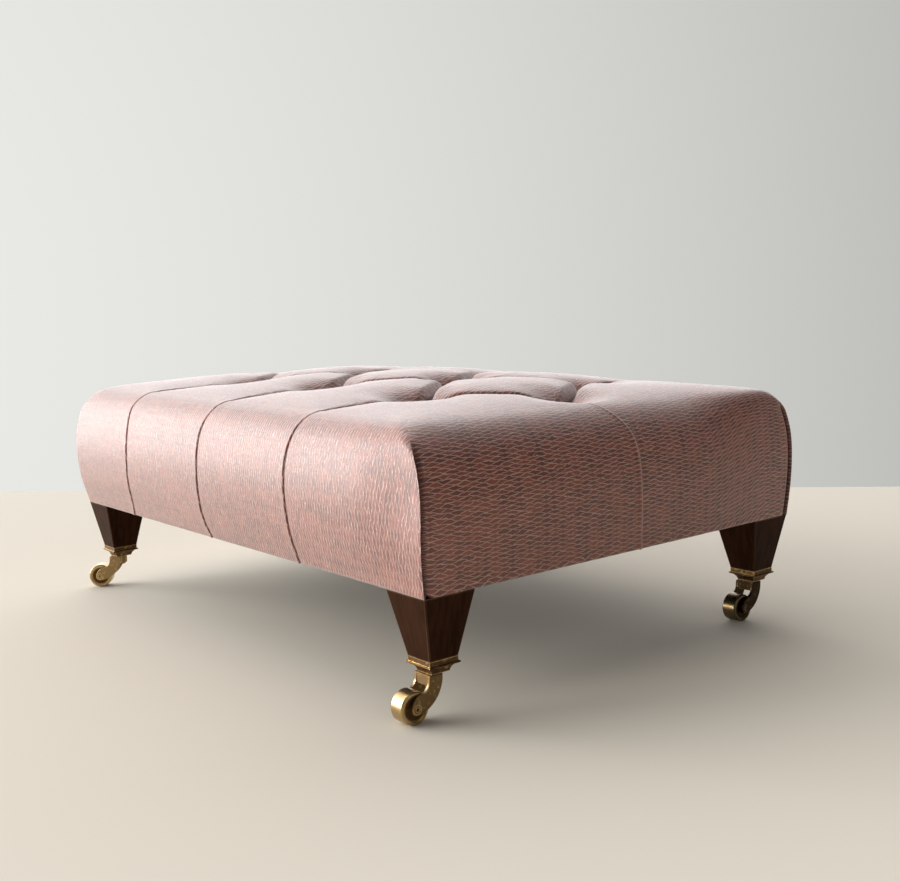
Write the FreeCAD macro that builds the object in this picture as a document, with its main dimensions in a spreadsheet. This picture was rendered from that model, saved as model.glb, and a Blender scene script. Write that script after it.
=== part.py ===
import FreeCAD, Part

import math
import os
import re

import Sketcher
from FreeCAD import Placement, Rotation, Vector

# Buttoned footstool on four swivel castors, millimetres.
# X runs along the long side, Y along the short side, +Z up.
# The origin is on the floor under the middle of the stool.

SIZES = {
    # Overall plan of the seat at its lower edge
    "body_long": 660,
    "body_wide": 455,
    # Seat cushion outline, heights above the cover's lower edge
    "shoulder_height": 122,
    "edge_height": 132,
    "crown_rise": 19.5,
    "side_bulge": 11.8,
    "end_bulge": 4.5,
    "end_draw": 5.5,
    "edge_draw": 14,
    "low_corner_radius": 6,
    "shoulder_corner_radius": 8,
    "edge_corner_radius": 17,
    "cover_thick": 1.2,
    "cover_turn_in": 18,
    "soft_gap": 0.3,
    # Deep buttoning
    "button_pitch": 153,
    "button_row_pitch": 110,
    "button_shift": 22,
    "button_radius": 9,
    "button_height": 5,
    "dimple_depth": 32,
    "dimple_floor_margin": 2,
    "dimple_mouth_radius": 40,
    "channel_depth": 12,
    "channel_width": 26,
    "channel_fade": 8,
    "pleat_width": 2.4,
    "pleat_depth": 2.4,
    "side_pleat_pitch": 170,
    "side_pleat_lean": 38,
    "end_pleat_lean": 14,
    "seam_height": 115,
    "seam_width": 1.6,
    "twine_radius": 0.9,
    "twine_room": 0.2,
    "knot_radius": 3.5,
    "knot_height": 3,
    # Wooden frame
    "frame_inset": 6,
    "rail_height": 55,
    "rail_thick": 22,
    "post_side": 50,
    "dowel_radius": 4,
    "dowel_length": 44,
    "dowel_low": 12,
    "dowel_pitch": 20,
    "glue_gap": 0.05,
    # Webbing, hessian, bottom cloth and tacks
    "webbing_width": 50,
    "webbing_thick": 1.3,
    "webbing_cross_pitch": 95,
    "webbing_ramp": 8,
    "hessian_thick": 0.8,
    "cloth_thick": 0.6,
    "cloth_inset": 10,
    "cloth_leg_room": 1,
    "tack_inset": 14,
    "tack_head_radius": 3.5,
    "tack_head_thick": 0.8,
    "tack_radius": 0.8,
    "tack_in_rail": 7,
    "tack_room": 0.1,
    "tack_leg_room": 12,
    # Legs and their fixings
    "leg_top_side": 50,
    "leg_low_side": 28.4,
    "leg_length": 53.2,
    "leg_edge_radius": 0.7,
    "bolt_radius": 4,
    "bolt_in_leg": 35,
    "bolt_room": 0.3,
    "bolt_end": 2,
    "counterbore_radius": 13.5,
    "counterbore_depth": 14,
    "washer_radius": 12,
    "washer_thick": 1.6,
    "nut_radius": 7.5,
    "nut_height": 6.5,
    # Castor cups
    "cup_foot_side": 18.6,
    "cup_foot_height": 1,
    "cup_cove_height": 5.5,
    "cup_cove_hollow": 0.9,
    "cup_lip_side": 31.2,
    "cup_lip_height": 1.6,
    "cup_lip_nose": 0.5,
    "cup_step": 1.3,
    "cup_band_height": 3.9,
    "socket_wall": 3.1,
    "socket_depth": 6.2,
    "tenon_gap": 0.1,
    "cup_pin_radius": 1,
    "cup_pin_length": 8,
    "cup_pin_head_radius": 1.4,
    "cup_pin_head_thick": 0.5,
    # Castor horns, pivots and wheels
    "wheel_diameter": 26.5,
    "wheel_width": 15,
    "wheel_edge_radius": 1.2,
    "wheel_rim": 2.4,
    "wheel_hub_radius": 4.5,
    "wheel_dish": 0.8,
    "wheel_side_gap": 0.4,
    "wheel_gap": 1.6,
    "axle_radius": 1.8,
    "running_gap": 0.05,
    "axle_recess": 0.25,
    "castor_trail": 24,
    "arm_thick": 2.4,
    "arm_back": 1.5,
    "arm_neck_drop": 5.3,
    "arm_neck_out": 0.5,
    "arm_brow_back": 5.5,
    "arm_brow_height": 10.5,
    "arm_nose": 4.6,
    "arm_chin_drop": 5,
    "arm_heel": 14.2,
    "arm_edge_radius": 0.6,
    "arm_pad_radius": 3.8,
    "arm_pad_thick": 0.6,
    "crown_thick": 8.2,
    "crown_front": 11.2,
    "pivot_boss_radius": 6.8,
    "pivot_boss_height": 8.8,
    "pivot_radius": 3,
    "pivot_head_radius": 5,
    "pivot_head_height": 1.5,
    "pivot_head_room": 0.4,
    "pivot_tail_radius": 4.6,
    "pivot_tail_height": 1.2,
    "pivot_gap": 0.3,
    "pivot_tail_gap": 0.15,
    # Which way each castor trails at rest, degrees from +X
    "trail_front_right": -91.6,
    "trail_front_left": -128,
    "trail_back_right": -90.1,
    "trail_back_left": 82,
}

# Levels and places worked out from the sizes, each from the ones above it
LEVELS = {
    "axle_height": "wheel_diameter / 2",
    "horn_top": "wheel_diameter + wheel_gap + crown_thick",
    "cup_low": "horn_top + pivot_gap",
    "cup_lip_low": "cup_low + cup_foot_height + cup_cove_height",
    "cup_top": "cup_lip_low + cup_lip_height + cup_band_height",
    "socket_floor": "cup_top - socket_depth",
    "socket_side": "leg_low_side - 2 * socket_wall",
    "seat_low": "cup_top + leg_length",
    "frame_low": "seat_low + cover_thick",
    "rail_top": "frame_low + rail_height",
    "hessian_low": "rail_top + 2 * webbing_thick",
    "stuffing_low": "hessian_low + hessian_thick",
    "seat_top": "seat_low + edge_height + crown_rise",
    "dimple_floor": "seat_top - dimple_depth",
    "leg_x": "body_long / 2 - leg_top_side / 2",
    "leg_y": "body_wide / 2 - leg_top_side / 2",
    "frame_x": "body_long / 2 - frame_inset",
    "frame_y": "body_wide / 2 - frame_inset",
    "post_x": "frame_x - post_side / 2",
    "post_y": "frame_y - post_side / 2",
    "rail_x": "frame_x - rail_thick / 2",
    "rail_y": "frame_y - rail_thick / 2",
    "counterbore_floor": "rail_top - counterbore_depth",
    "bolt_top": "counterbore_floor + washer_thick + nut_height + bolt_end",
    "tenon_height": "socket_depth - pivot_head_height - pivot_head_room",
    "boss_low": "horn_top - pivot_boss_height",
    "fork_inside": "wheel_width / 2 + wheel_side_gap",
    "fork_outside": "fork_inside + arm_thick",
    "axle_reach": "fork_outside + arm_pad_thick - axle_recess",
    "cup_pin_height": "cup_top - cup_band_height / 2 + cup_pin_head_radius / 4",
}

CORNERS = {
    "front_right": (1, -1),
    "front_left": (-1, -1),
    "back_right": (1, 1),
    "back_left": (-1, 1),
}

doc = FreeCAD.newDocument("footstool")

# The sheet of driving dimensions
sheet = doc.addObject("Spreadsheet::Sheet", "Sizes")
for row, (name, value) in enumerate(SIZES.items(), start=1):
    sheet.set("A%d" % row, name)
    sheet.set("B%d" % row, str(value))
    sheet.setAlias("B%d" % row, name)
doc.recompute()

levels = doc.addObject("App::VarSet", "Levels")
known = {name: "Sizes." + name for name in SIZES}


def full(formula):
    """The formula with each name written as the property that holds it."""
    return re.sub(r"[a-z][a-z_]*", lambda word: known.get(word.group(0), word.group(0)), str(formula))


def tie(item, prop, formula):
    item.setExpression(prop, full(formula))


for name, formula in LEVELS.items():
    levels.addProperty("App::PropertyFloat", name)
    tie(levels, name, formula)
    known[name] = "Levels." + name
doc.recompute()


def size(name):
    """A driving dimension or a level, in millimetres."""
    if name in SIZES:
        return float(sheet.get(name))
    return getattr(levels, name)


sub_parts = []


def keep(item, label):
    item.Label = label
    sub_parts.append(item)
    return item


def move(item, x=0, y=0, z=0):
    tie(item, "Placement.Base.x", x)
    tie(item, "Placement.Base.y", y)
    tie(item, "Placement.Base.z", z)
    return item


def box(name, middle_x, middle_y, low, length, width, height):
    """A box given by the middle of its plan and its lower face."""
    item = doc.addObject("Part::Box", name)
    tie(item, "Length", length)
    tie(item, "Width", width)
    tie(item, "Height", height)
    return move(item, "%s - (%s) / 2" % (middle_x, length), "%s - (%s) / 2" % (middle_y, width), low)


AXES = {
    "x": Rotation(Vector(0, 1, 0), 90),
    "y": Rotation(Vector(1, 0, 0), -90),
    "z": Rotation(),
}


def rod(name, radius, length, x, y, z, along="z"):
    """A cylinder that starts at x, y, z and runs in the plus direction of an axis."""
    item = doc.addObject("Part::Cylinder", name)
    item.Placement = Placement(Vector(), AXES[along])
    tie(item, "Radius", radius)
    tie(item, "Height", length)
    return move(item, x, y, z)


def together(name, items):
    item = doc.addObject("Part::Compound", name)
    item.Links = items
    return item


def fuse(name, items):
    item = doc.addObject("Part::MultiFuse", name)
    item.Shapes = items
    return item


def cut(name, base, tools):
    item = doc.addObject("Part::Cut", name)
    item.Base = base
    item.Tool = together(name + "_tools", tools)
    return item


def made(name, shape):
    """A piece whose outline needs arcs or lofts that the primitives lack."""
    item = doc.addObject("Part::Feature", name)
    item.Shape = shape
    return item


# Sketches on a body's own planes


def origin_plane(body, role):
    return [item for item in body.Origin.OriginFeatures if item.Role == role][0]


def new_sketch(body, name, role, offset=None):
    sketch = body.newObject("Sketcher::SketchObject", name)
    sketch.AttachmentSupport = [(origin_plane(body, role), "")]
    sketch.MapMode = "FlatFace"
    if offset is not None:
        tie(sketch, "AttachmentOffset.Base.z", offset)
    return sketch


def square_sketch(body, name, side, offset=None):
    """A square about the body's own axis."""
    sketch = new_sketch(body, name, "XY_Plane", offset)
    corners = [Vector(-1, -1, 0), Vector(1, -1, 0), Vector(1, 1, 0), Vector(-1, 1, 0)]
    for index in range(4):
        sketch.addGeometry(Part.LineSegment(corners[index], corners[(index + 1) % 4]), False)
    for index in range(4):
        sketch.addConstraint(Sketcher.Constraint("Coincident", index, 2, (index + 1) % 4, 1))
    for index in (0, 2):
        sketch.addConstraint(Sketcher.Constraint("Horizontal", index))
        sketch.addConstraint(Sketcher.Constraint("Vertical", index + 1))
    sketch.addConstraint(Sketcher.Constraint("Symmetric", 0, 1, 1, 2, -1, 1))
    sketch.addConstraint(Sketcher.Constraint("Equal", 0, 1))
    number = sketch.addConstraint(Sketcher.Constraint("DistanceX", 0, 1, 0, 2, 2.0))
    sketch.renameConstraint(number, "side")
    tie(sketch, "Constraints.side", side)
    return sketch


def disc_sketch(body, name, radius, offset=None):
    sketch = new_sketch(body, name, "XY_Plane", offset)
    sketch.addGeometry(Part.Circle(Vector(), Vector(0, 0, 1), 1.0), False)
    sketch.addConstraint(Sketcher.Constraint("Coincident", 0, 3, -1, 1))
    number = sketch.addConstraint(Sketcher.Constraint("Radius", 0, 1.0))
    sketch.renameConstraint(number, "radius")
    tie(sketch, "Constraints.radius", radius)
    return sketch


def turned(body, name, outline):
    """A revolved piece; the outline is its half section, as radius and height."""
    sketch = new_sketch(body, name + "_section", "XZ_Plane")
    count = len(outline)
    for index in range(count):
        angle = 2 * math.pi * index / count
        after = 2 * math.pi * (index + 1) / count
        start = Vector(5 + math.cos(angle), math.sin(angle), 0)
        end = Vector(5 + math.cos(after), math.sin(after), 0)
        sketch.addGeometry(Part.LineSegment(start, end), False)
    for index in range(count):
        sketch.addConstraint(Sketcher.Constraint("Coincident", index, 2, (index + 1) % count, 1))
    for index, (radius, height) in enumerate(outline):
        across = sketch.addConstraint(Sketcher.Constraint("DistanceX", -1, 1, index, 1, 1.0))
        sketch.renameConstraint(across, "radius%d" % index)
        tie(sketch, "Constraints.radius%d" % index, radius)
        up = sketch.addConstraint(Sketcher.Constraint("DistanceY", -1, 1, index, 1, 1.0))
        sketch.renameConstraint(up, "height%d" % index)
        tie(sketch, "Constraints.height%d" % index, height)
    feature = body.newObject("PartDesign::Revolution", name + "_turned")
    feature.Profile = sketch
    feature.ReferenceAxis = (sketch, ["V_Axis"])
    feature.Angle = 360
    return feature


# Wooden frame


def dowels():
    """Two dowels at each end of each rail, half in the rail and half in the post."""
    pieces = []
    holes = []
    for corner, (side_x, side_y) in CORNERS.items():
        for step in (0, 1):
            level = "frame_low + dowel_low + %d * dowel_pitch" % step
            start = "%d * (frame_x - post_side) - dowel_length / 2" % side_x
            across = "%d * rail_y" % side_y
            pieces.append(rod("dowel", "dowel_radius", "dowel_length", start, across, level, "x"))
            holes.append(rod("bore", "dowel_radius + glue_gap", "dowel_length", start, across, level, "x"))
            start = "%d * (frame_y - post_side) - dowel_length / 2" % side_y
            across = "%d * rail_x" % side_x
            pieces.append(rod("dowel", "dowel_radius", "dowel_length", across, start, level, "y"))
            holes.append(rod("bore", "dowel_radius + glue_gap", "dowel_length", across, start, level, "y"))
    return pieces, holes


def tack_places():
    """Formulas of the plan place of each tack, and the rail that it goes into."""
    places = []
    for side in (-1, 1):
        for index in range(13):
            x = "(%d / 6) * (leg_x - leg_top_side / 2 - tack_leg_room)" % (index - 6)
            places.append(("long", side, x, "%d * (body_wide / 2 - tack_inset)" % side))
        for index in range(8):
            y = "(%d / 7) * (leg_y - leg_top_side / 2 - tack_leg_room)" % (2 * index - 7)
            places.append(("short", side, "%d * (body_long / 2 - tack_inset)" % side, y))
    return places


def tack_bores(places):
    bores = []
    for rail, side, x, y in places:
        bores.append(rod("tack_bore", "tack_radius + tack_room", "cloth_thick + cover_thick + tack_in_rail",
                         x, y, "seat_low - cloth_thick"))
    return bores


def build_frame():
    dowel_pieces, dowel_holes = dowels()
    keep(together("dowel_group", dowel_pieces), "dowels")
    for side, word in ((-1, "front"), (1, "back")):
        bores = tack_bores([place for place in tack_places() if place[0] == "long" and place[1] == side])
        rail = box("long_rail", 0, "%d * rail_y" % side, "frame_low",
                   "2 * (frame_x - post_side)", "rail_thick", "rail_height")
        keep(cut("long_rail_cut", rail, dowel_holes + bores), "long_rail_" + word)
    for side, word in ((-1, "left"), (1, "right")):
        bores = tack_bores([place for place in tack_places() if place[0] == "short" and place[1] == side])
        rail = box("short_rail", "%d * rail_x" % side, 0, "frame_low",
                   "rail_thick", "2 * (frame_y - post_side)", "rail_height")
        keep(cut("short_rail_cut", rail, dowel_holes + bores), "short_rail_" + word)
    for corner, (side_x, side_y) in CORNERS.items():
        post = box("post", "%d * post_x" % side_x, "%d * post_y" % side_y, "frame_low",
                   "post_side", "post_side", "rail_height")
        bore = rod("bolt_bore", "bolt_radius + bolt_room", "rail_height",
                   "%d * leg_x" % side_x, "%d * leg_y" % side_y, "frame_low")
        mouth = rod("counterbore", "counterbore_radius", "counterbore_depth",
                    "%d * leg_x" % side_x, "%d * leg_y" % side_y, "counterbore_floor")
        hollow = fuse("bolt_hollow", [bore, mouth])
        keep(cut("post_cut", post, dowel_holes + [hollow]), "corner_post_" + corner)


def strip_shape(length, crossings, width, thick, ramp):
    """A webbing strip along X that rises by its thickness over the raised crossings."""
    half = length / 2
    lower = [(-half, 0.0)]
    for middle, raised in crossings:
        if raised:
            reach = width / 2
            lower += [(middle - reach - ramp, 0.0), (middle - reach, thick)]
            lower += [(middle + reach, thick), (middle + reach + ramp, 0.0)]
    lower.append((half, 0.0))
    upper = [(x, z + thick) for x, z in reversed(lower)]
    points = [Vector(x, -width / 2, z) for x, z in lower + upper]
    face = Part.Face(Part.makePolygon(points + [points[0]]))
    return face.extrude(Vector(0, width, 0))


def build_webbing():
    width = size("webbing_width")
    thick = size("webbing_thick")
    ramp = size("webbing_ramp")
    rows = [-size("button_row_pitch"), 0.0, size("button_row_pitch")]
    reach = size("frame_x") - size("post_side") - width / 2
    pairs = int(reach // size("webbing_cross_pitch"))
    columns = [index * size("webbing_cross_pitch") for index in range(-pairs, pairs + 1)]
    level = size("rail_top")
    bores = [bore.Shape for bore in twine_bores]
    along = []
    for row_index, y in enumerate(rows):
        crossings = [(x, (row_index + index) % 2 == 0) for index, x in enumerate(columns)]
        strip = strip_shape(2 * size("frame_x"), crossings, width, thick, ramp)
        strip.translate(Vector(0, y, level))
        along.append(strip.cut(bores))
    across = []
    for index, x in enumerate(columns):
        crossings = [(y, (row_index + index) % 2 == 1) for row_index, y in enumerate(rows)]
        strip = strip_shape(2 * size("frame_y"), crossings, width, thick, ramp)
        strip.rotate(Vector(), Vector(0, 0, 1), 90)
        strip.translate(Vector(x, 0, level))
        across.append(strip.cut(bores))
    keep(made("webbing_along", Part.makeCompound(along)), "webbing_long")
    keep(made("webbing_across", Part.makeCompound(across)), "webbing_cross")


# Seat cushion: one form, drawn in by an inset, serves the cover, the pad and the wadding


def rounded_rectangle(half_x, half_y, radius, z):
    """A closed wire of four straight sides and four corner arcs."""
    diagonal = radius * math.sqrt(0.5)
    edges = []
    for turn in range(4):
        spin = Rotation(Vector(0, 0, 1), 90 * turn)
        reach, side = (half_x, half_y) if turn % 2 == 0 else (half_y, half_x)
        start = Vector(reach, radius - side, 0)
        low = Vector(reach, side - radius, 0)
        middle = Vector(reach - radius + diagonal, side - radius + diagonal, 0)
        high = Vector(reach - radius, side, 0)
        level = Vector(0, 0, z)
        edges.append(Part.LineSegment(spin.multVec(start) + level, spin.multVec(low) + level).toShape())
        arc = Part.Arc(spin.multVec(low) + level, spin.multVec(middle) + level, spin.multVec(high) + level)
        edges.append(arc.toShape())
    return Part.Wire(edges)


SIDE_STEPS = (0.0, 0.25, 0.5, 0.75, 1.0)
CROWN_STEPS = (0.95, 0.84, 0.64, 0.36)


def side_swell(share):
    """How far the long and the short sides stand out at a share of the shoulder's height."""
    swell = (4 * share * (1 - share)) ** 0.8
    return size("end_bulge") * swell - size("end_draw") * share ** 2, size("side_bulge") * swell


def side_corner(share):
    """Radius of the upright corners at a share of the shoulder's height."""
    low = size("low_corner_radius")
    return low + (size("shoulder_corner_radius") - low) * share


def crown_share(share):
    """Height of the crown at a share of the way out to the edge, as a share of its rise."""
    return (1 - share ** 2) ** 0.8


def plain_form(inset, low):
    """The cushion without its buttoning, drawn in by the inset, from the level low up."""
    half_x = size("body_long") / 2 - inset
    half_y = size("body_wide") / 2 - inset
    shoulder = size("shoulder_height")
    wires = []
    for share in SIDE_STEPS:
        out_x, out_y = side_swell(share)
        level = low + (size("seat_low") + shoulder - low) * share
        wires.append(rounded_rectangle(half_x + out_x, half_y + out_y, side_corner(share), level))
    ring_x = half_x - size("end_draw") - size("edge_draw")
    ring_y = half_y - size("edge_draw")
    ring_level = size("seat_low") + size("edge_height") - inset * 0.5
    rise = size("crown_rise") - inset * 0.5
    ring_corner = size("edge_corner_radius")
    wires.append(rounded_rectangle(ring_x, ring_y, ring_corner, ring_level))
    for share in CROWN_STEPS:
        level = ring_level + rise * crown_share(share)
        wires.append(rounded_rectangle(ring_x * share, ring_y * share, ring_corner * share, level))
    wires.append(rounded_rectangle(ring_x * 0.1, ring_y * 0.1, ring_corner * 0.1, ring_level + rise))
    return Part.makeLoft(wires, True, True)


def button_rows():
    """Plan places of the buttons: rows of three, four and three."""
    pitch = size("button_pitch")
    shift = size("button_shift")
    rows = []
    for row, count in ((-1, 3), (0, 4), (1, 3)):
        places = []
        for index in range(count):
            x = shift + (index - (count - 1) / 2) * pitch
            places.append(Vector(x, row * size("button_row_pitch"), 0))
        rows.append(places)
    return rows


def dimple(place, inset):
    """A hole like a trumpet's bell that the button sits at the foot of."""
    floor = size("dimple_floor") - inset
    foot = size("button_radius") + size("dimple_floor_margin") + inset
    mouth = size("dimple_mouth_radius") + inset
    top = size("seat_top") + 1
    middle = Vector(foot + 0.3 * (mouth - foot), 0, floor + 0.72 * (top - floor))
    start = Vector(foot, 0, floor)
    end = Vector(mouth, 0, top)
    edges = [
        Part.LineSegment(Vector(0, 0, floor), start).toShape(),
        Part.Arc(start, middle, end).toShape(),
        Part.LineSegment(end, Vector(0, 0, top)).toShape(),
        Part.LineSegment(Vector(0, 0, top), Vector(0, 0, floor)).toShape(),
    ]
    shape = Part.Face(Part.Wire(edges)).revolve(Vector(), Vector(0, 0, 1), 360)
    shape.translate(place)
    return shape


def channel(centre, end, inset):
    """A furrow with two rounded banks, from a button's dimple to another point on the top."""
    flat = Vector(end.x - centre.x, end.y - centre.y, 0)
    share = size("button_radius") / flat.Length
    flat.normalize()
    start = centre + (end - centre) * share
    across = Vector(-flat.y, flat.x, 0)
    half = size("channel_width") / 2 + inset
    depth = size("channel_depth") + inset
    lip = size("channel_depth") / 3
    up = Vector(0, 0, 1)
    bottom = start - up * depth
    left = start + across * half + up * lip
    right = start - across * half + up * lip
    clear = up * 2 * size("channel_depth")
    edges = [
        Part.Arc(bottom, start + across * half * 0.3 - up * depth * 0.35, left).toShape(),
        Part.LineSegment(left, left + clear).toShape(),
        Part.LineSegment(left + clear, right + clear).toShape(),
        Part.LineSegment(right + clear, right).toShape(),
        Part.Arc(right, start - across * half * 0.3 - up * depth * 0.35, bottom).toShape(),
    ]
    return Part.Face(Part.Wire(edges)).extrude(end - start)


def crown_level(place, inset):
    """Height of the plain crown above a plan place."""
    ring_x = size("body_long") / 2 - size("end_draw") - size("edge_draw")
    ring_y = size("body_wide") / 2 - size("edge_draw")
    share = min(1.0, max(abs(place.x) / ring_x, abs(place.y) / ring_y))
    rise = size("crown_rise") * crown_share(share)
    return size("seat_low") + size("edge_height") + rise - inset


def edge_points():
    """For each pleat, its button and the plan place where it crosses the seat's edge."""
    rows = button_rows()
    edge_x = size("body_long") / 2 - size("end_draw") - size("edge_draw")
    edge_y = size("body_wide") / 2 - size("edge_draw")
    pairs = []
    for row, side in ((rows[0], -1), (rows[2], 1)):
        for index, place in enumerate(row):
            x = size("button_shift") - size("side_pleat_lean") + (index - 1) * size("side_pleat_pitch")
            pairs.append((place, Vector(x, side * edge_y, 0)))
    pairs.append((rows[1][0], Vector(-edge_x, size("end_pleat_lean"), 0)))
    pairs.append((rows[1][-1], Vector(edge_x, size("end_pleat_lean"), 0)))
    return pairs


def channels(inset):
    """Furrows along the diamonds, and ones that fade out from the outer buttons to the edges."""
    rows = button_rows()
    pairs = [(start, end, size("channel_fade")) for start, end in edge_points()]
    for outer in (rows[0], rows[2]):
        for index, place in enumerate(outer):
            pairs.append((place, rows[1][index], 0.0))
            pairs.append((place, rows[1][index + 1], 0.0))
    shapes = []
    for start, end, fade in pairs:
        low = Vector(start.x, start.y, crown_level(start, inset))
        high = Vector(end.x, end.y, crown_level(end, inset) + fade)
        shapes.append(channel(low, high, inset))
    return shapes


def pleats(inset):
    """Upright slots that mark the pleats on the four sides."""
    width = size("pleat_width") + 2 * inset
    height = size("edge_height") + size("crown_rise")
    shapes = []
    for place, edge in edge_points():
        across = abs(edge.y - place.y) > abs(edge.x - place.x)
        depth = size("body_wide") if across else size("body_long")
        reach = 40.0
        out = depth / 2 + size("side_bulge") + 5 - reach
        if across:
            slot = Part.makeBox(width, reach, height)
            low_y = out if edge.y > 0 else -out - reach
            slot.translate(Vector(edge.x - width / 2, low_y, size("seat_low")))
        else:
            slot = Part.makeBox(reach, width, height)
            low_x = out if edge.x > 0 else -out - reach
            slot.translate(Vector(low_x, edge.y - width / 2, size("seat_low")))
        shapes.append(slot)
    return shapes


def corner_seams(inset):
    """Grooves that follow the four upright corners up to the seams' tops."""
    half_x = size("body_long") / 2 - inset
    half_y = size("body_wide") / 2 - inset
    width = size("seam_width") + 2 * inset
    top = size("seam_height") / size("shoulder_height")
    seams = []
    for side_x, side_y in CORNERS.values():
        across = Vector(-side_x, side_y, 0) * (width / 2)
        wires = []
        for share in [share for share in SIDE_STEPS if share < top] + [top]:
            out_x, out_y = side_swell(share)
            inside = side_corner(share) * (1 - math.sqrt(0.5))
            level = size("seat_low") + size("shoulder_height") * share
            corner = Vector(side_x * (half_x + out_x - inside), side_y * (half_y + out_y - inside), level)
            reach = Vector(side_x, side_y, 0) * 2 * size("pleat_depth")
            points = [corner + reach + across, corner + reach - across, corner - reach - across,
                      corner - reach + across]
            wires.append(Part.makePolygon(points + points[:1]))
        seams.append(Part.makeLoft(wires, True, True))
    return seams


def buttoned_form(inset, low):
    """The cushion with its pleats, furrows and dimples, drawn in by the inset."""
    core = plain_form(inset + size("pleat_depth"), low)
    form = plain_form(inset, low)
    slots = Part.makeCompound(pleats(inset) + corner_seams(inset)).cut(core)
    form = form.cut(slots)
    for tools in ([dimple(place, inset) for row in button_rows() for place in row], channels(inset)):
        before = form.Volume
        form = form.cut(tools)
        if not form.isValid() or form.Volume > before - 1000:
            raise RuntimeError("the cushion's buttoning did not cut at inset %s" % inset)
    return form


twine_bores = []


def build_buttons():
    """Covered buttons at the feet of the dimples, each with its knotted twine."""
    buttons = []
    twines = []
    for row in button_rows():
        for place in row:
            body = doc.addObject("PartDesign::Body", "button")
            turned(body, "button", [
                ("0", "0"),
                ("button_radius", "0"),
                ("button_radius", "button_height * 0.3"),
                ("button_radius * 0.86", "button_height * 0.66"),
                ("button_radius * 0.5", "button_height * 0.93"),
                ("0", "button_height"),
            ])
            body.Placement = Placement(Vector(place.x, place.y, size("dimple_floor")), Rotation())
            buttons.append(body)
            stem = rod("stem", "twine_radius", "dimple_floor - rail_top + knot_height",
                       place.x, place.y, "rail_top - knot_height")
            knot = rod("knot", "knot_radius", "knot_height", place.x, place.y, "rail_top - knot_height")
            twines.append(fuse("twine", [stem, knot]))
            twine_bores.append(rod("twine_bore", "twine_radius + twine_room", "dimple_floor - rail_top + 2",
                                   place.x, place.y, "rail_top - 1"))
    keep(together("button_group", buttons), "cover_buttons")
    keep(together("twine_group", twines), "button_twines")


def build_upholstery():
    tack_rods = tack_bores(tack_places())
    doc.recompute()
    thick = size("cover_thick")
    low = size("seat_low")
    frame_low = size("frame_low")
    long = size("body_long")
    wide = size("body_wide")
    turn_in = size("cover_turn_in")
    bores = [bore.Shape for bore in twine_bores]
    tack_holes = [bore.Shape for bore in tack_rods]

    inner = buttoned_form(thick, frame_low)
    opening = Part.makeBox(long - 2 * turn_in, wide - 2 * turn_in, 2 * thick)
    opening.translate(Vector(turn_in - long / 2, turn_in - wide / 2, low - thick / 2))
    cover = buttoned_form(0.0, low).cut([inner, opening] + bores + tack_holes)
    keep(made("cover_shape", cover), "cover")

    gap = size("soft_gap")
    soft = buttoned_form(thick + gap, frame_low)
    pad_low = size("stuffing_low")
    slab = Part.makeBox(2 * long, 2 * wide, size("seat_top"))
    slab.translate(Vector(-long, -wide, pad_low))
    keep(made("stuffing_shape", soft.common(slab).cut(bores)), "stuffing")

    belt = Part.makeBox(2 * long, 2 * wide, pad_low - frame_low)
    belt.translate(Vector(-long, -wide, frame_low))
    core = Part.makeBox(2 * (size("frame_x") + gap), 2 * (size("frame_y") + gap), pad_low - frame_low)
    core.translate(Vector(-size("frame_x") - gap, -size("frame_y") - gap, frame_low))
    keep(made("wadding_shape", soft.common(belt).cut(core)), "side_wadding")

    hessian = box("hessian_sheet", 0, 0, "hessian_low", "2 * frame_x", "2 * frame_y", "hessian_thick")
    keep(cut("hessian_cut", hessian, twine_bores), "hessian")


def build_bottom():
    """The bottom cloth, cut out around the legs, and its tacks."""
    cloth = box("cloth", 0, 0, "seat_low - cloth_thick",
                "body_long - 2 * cloth_inset", "body_wide - 2 * cloth_inset", "cloth_thick")
    corners = []
    for side_x, side_y in CORNERS.values():
        corners.append(box("notch", "%d * leg_x" % side_x, "%d * leg_y" % side_y, "seat_low - cloth_thick",
                           "leg_top_side + 2 * cloth_leg_room", "leg_top_side + 2 * cloth_leg_room",
                           "cloth_thick"))
    keep(cut("cloth_cut", cloth, corners + tack_bores(tack_places())), "bottom_cloth")
    tacks = []
    for rail, side, x, y in tack_places():
        head = rod("tack_head", "tack_head_radius", "tack_head_thick",
                   x, y, "seat_low - cloth_thick - tack_head_thick")
        shank = rod("tack_shank", "tack_radius", "tack_head_thick + cloth_thick + cover_thick + tack_in_rail",
                    x, y, "seat_low - cloth_thick - tack_head_thick")
        tacks.append(fuse("tack", [head, shank]))
    keep(together("tack_group", tacks), "bottom_tacks")


# Legs and their fixings


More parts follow.
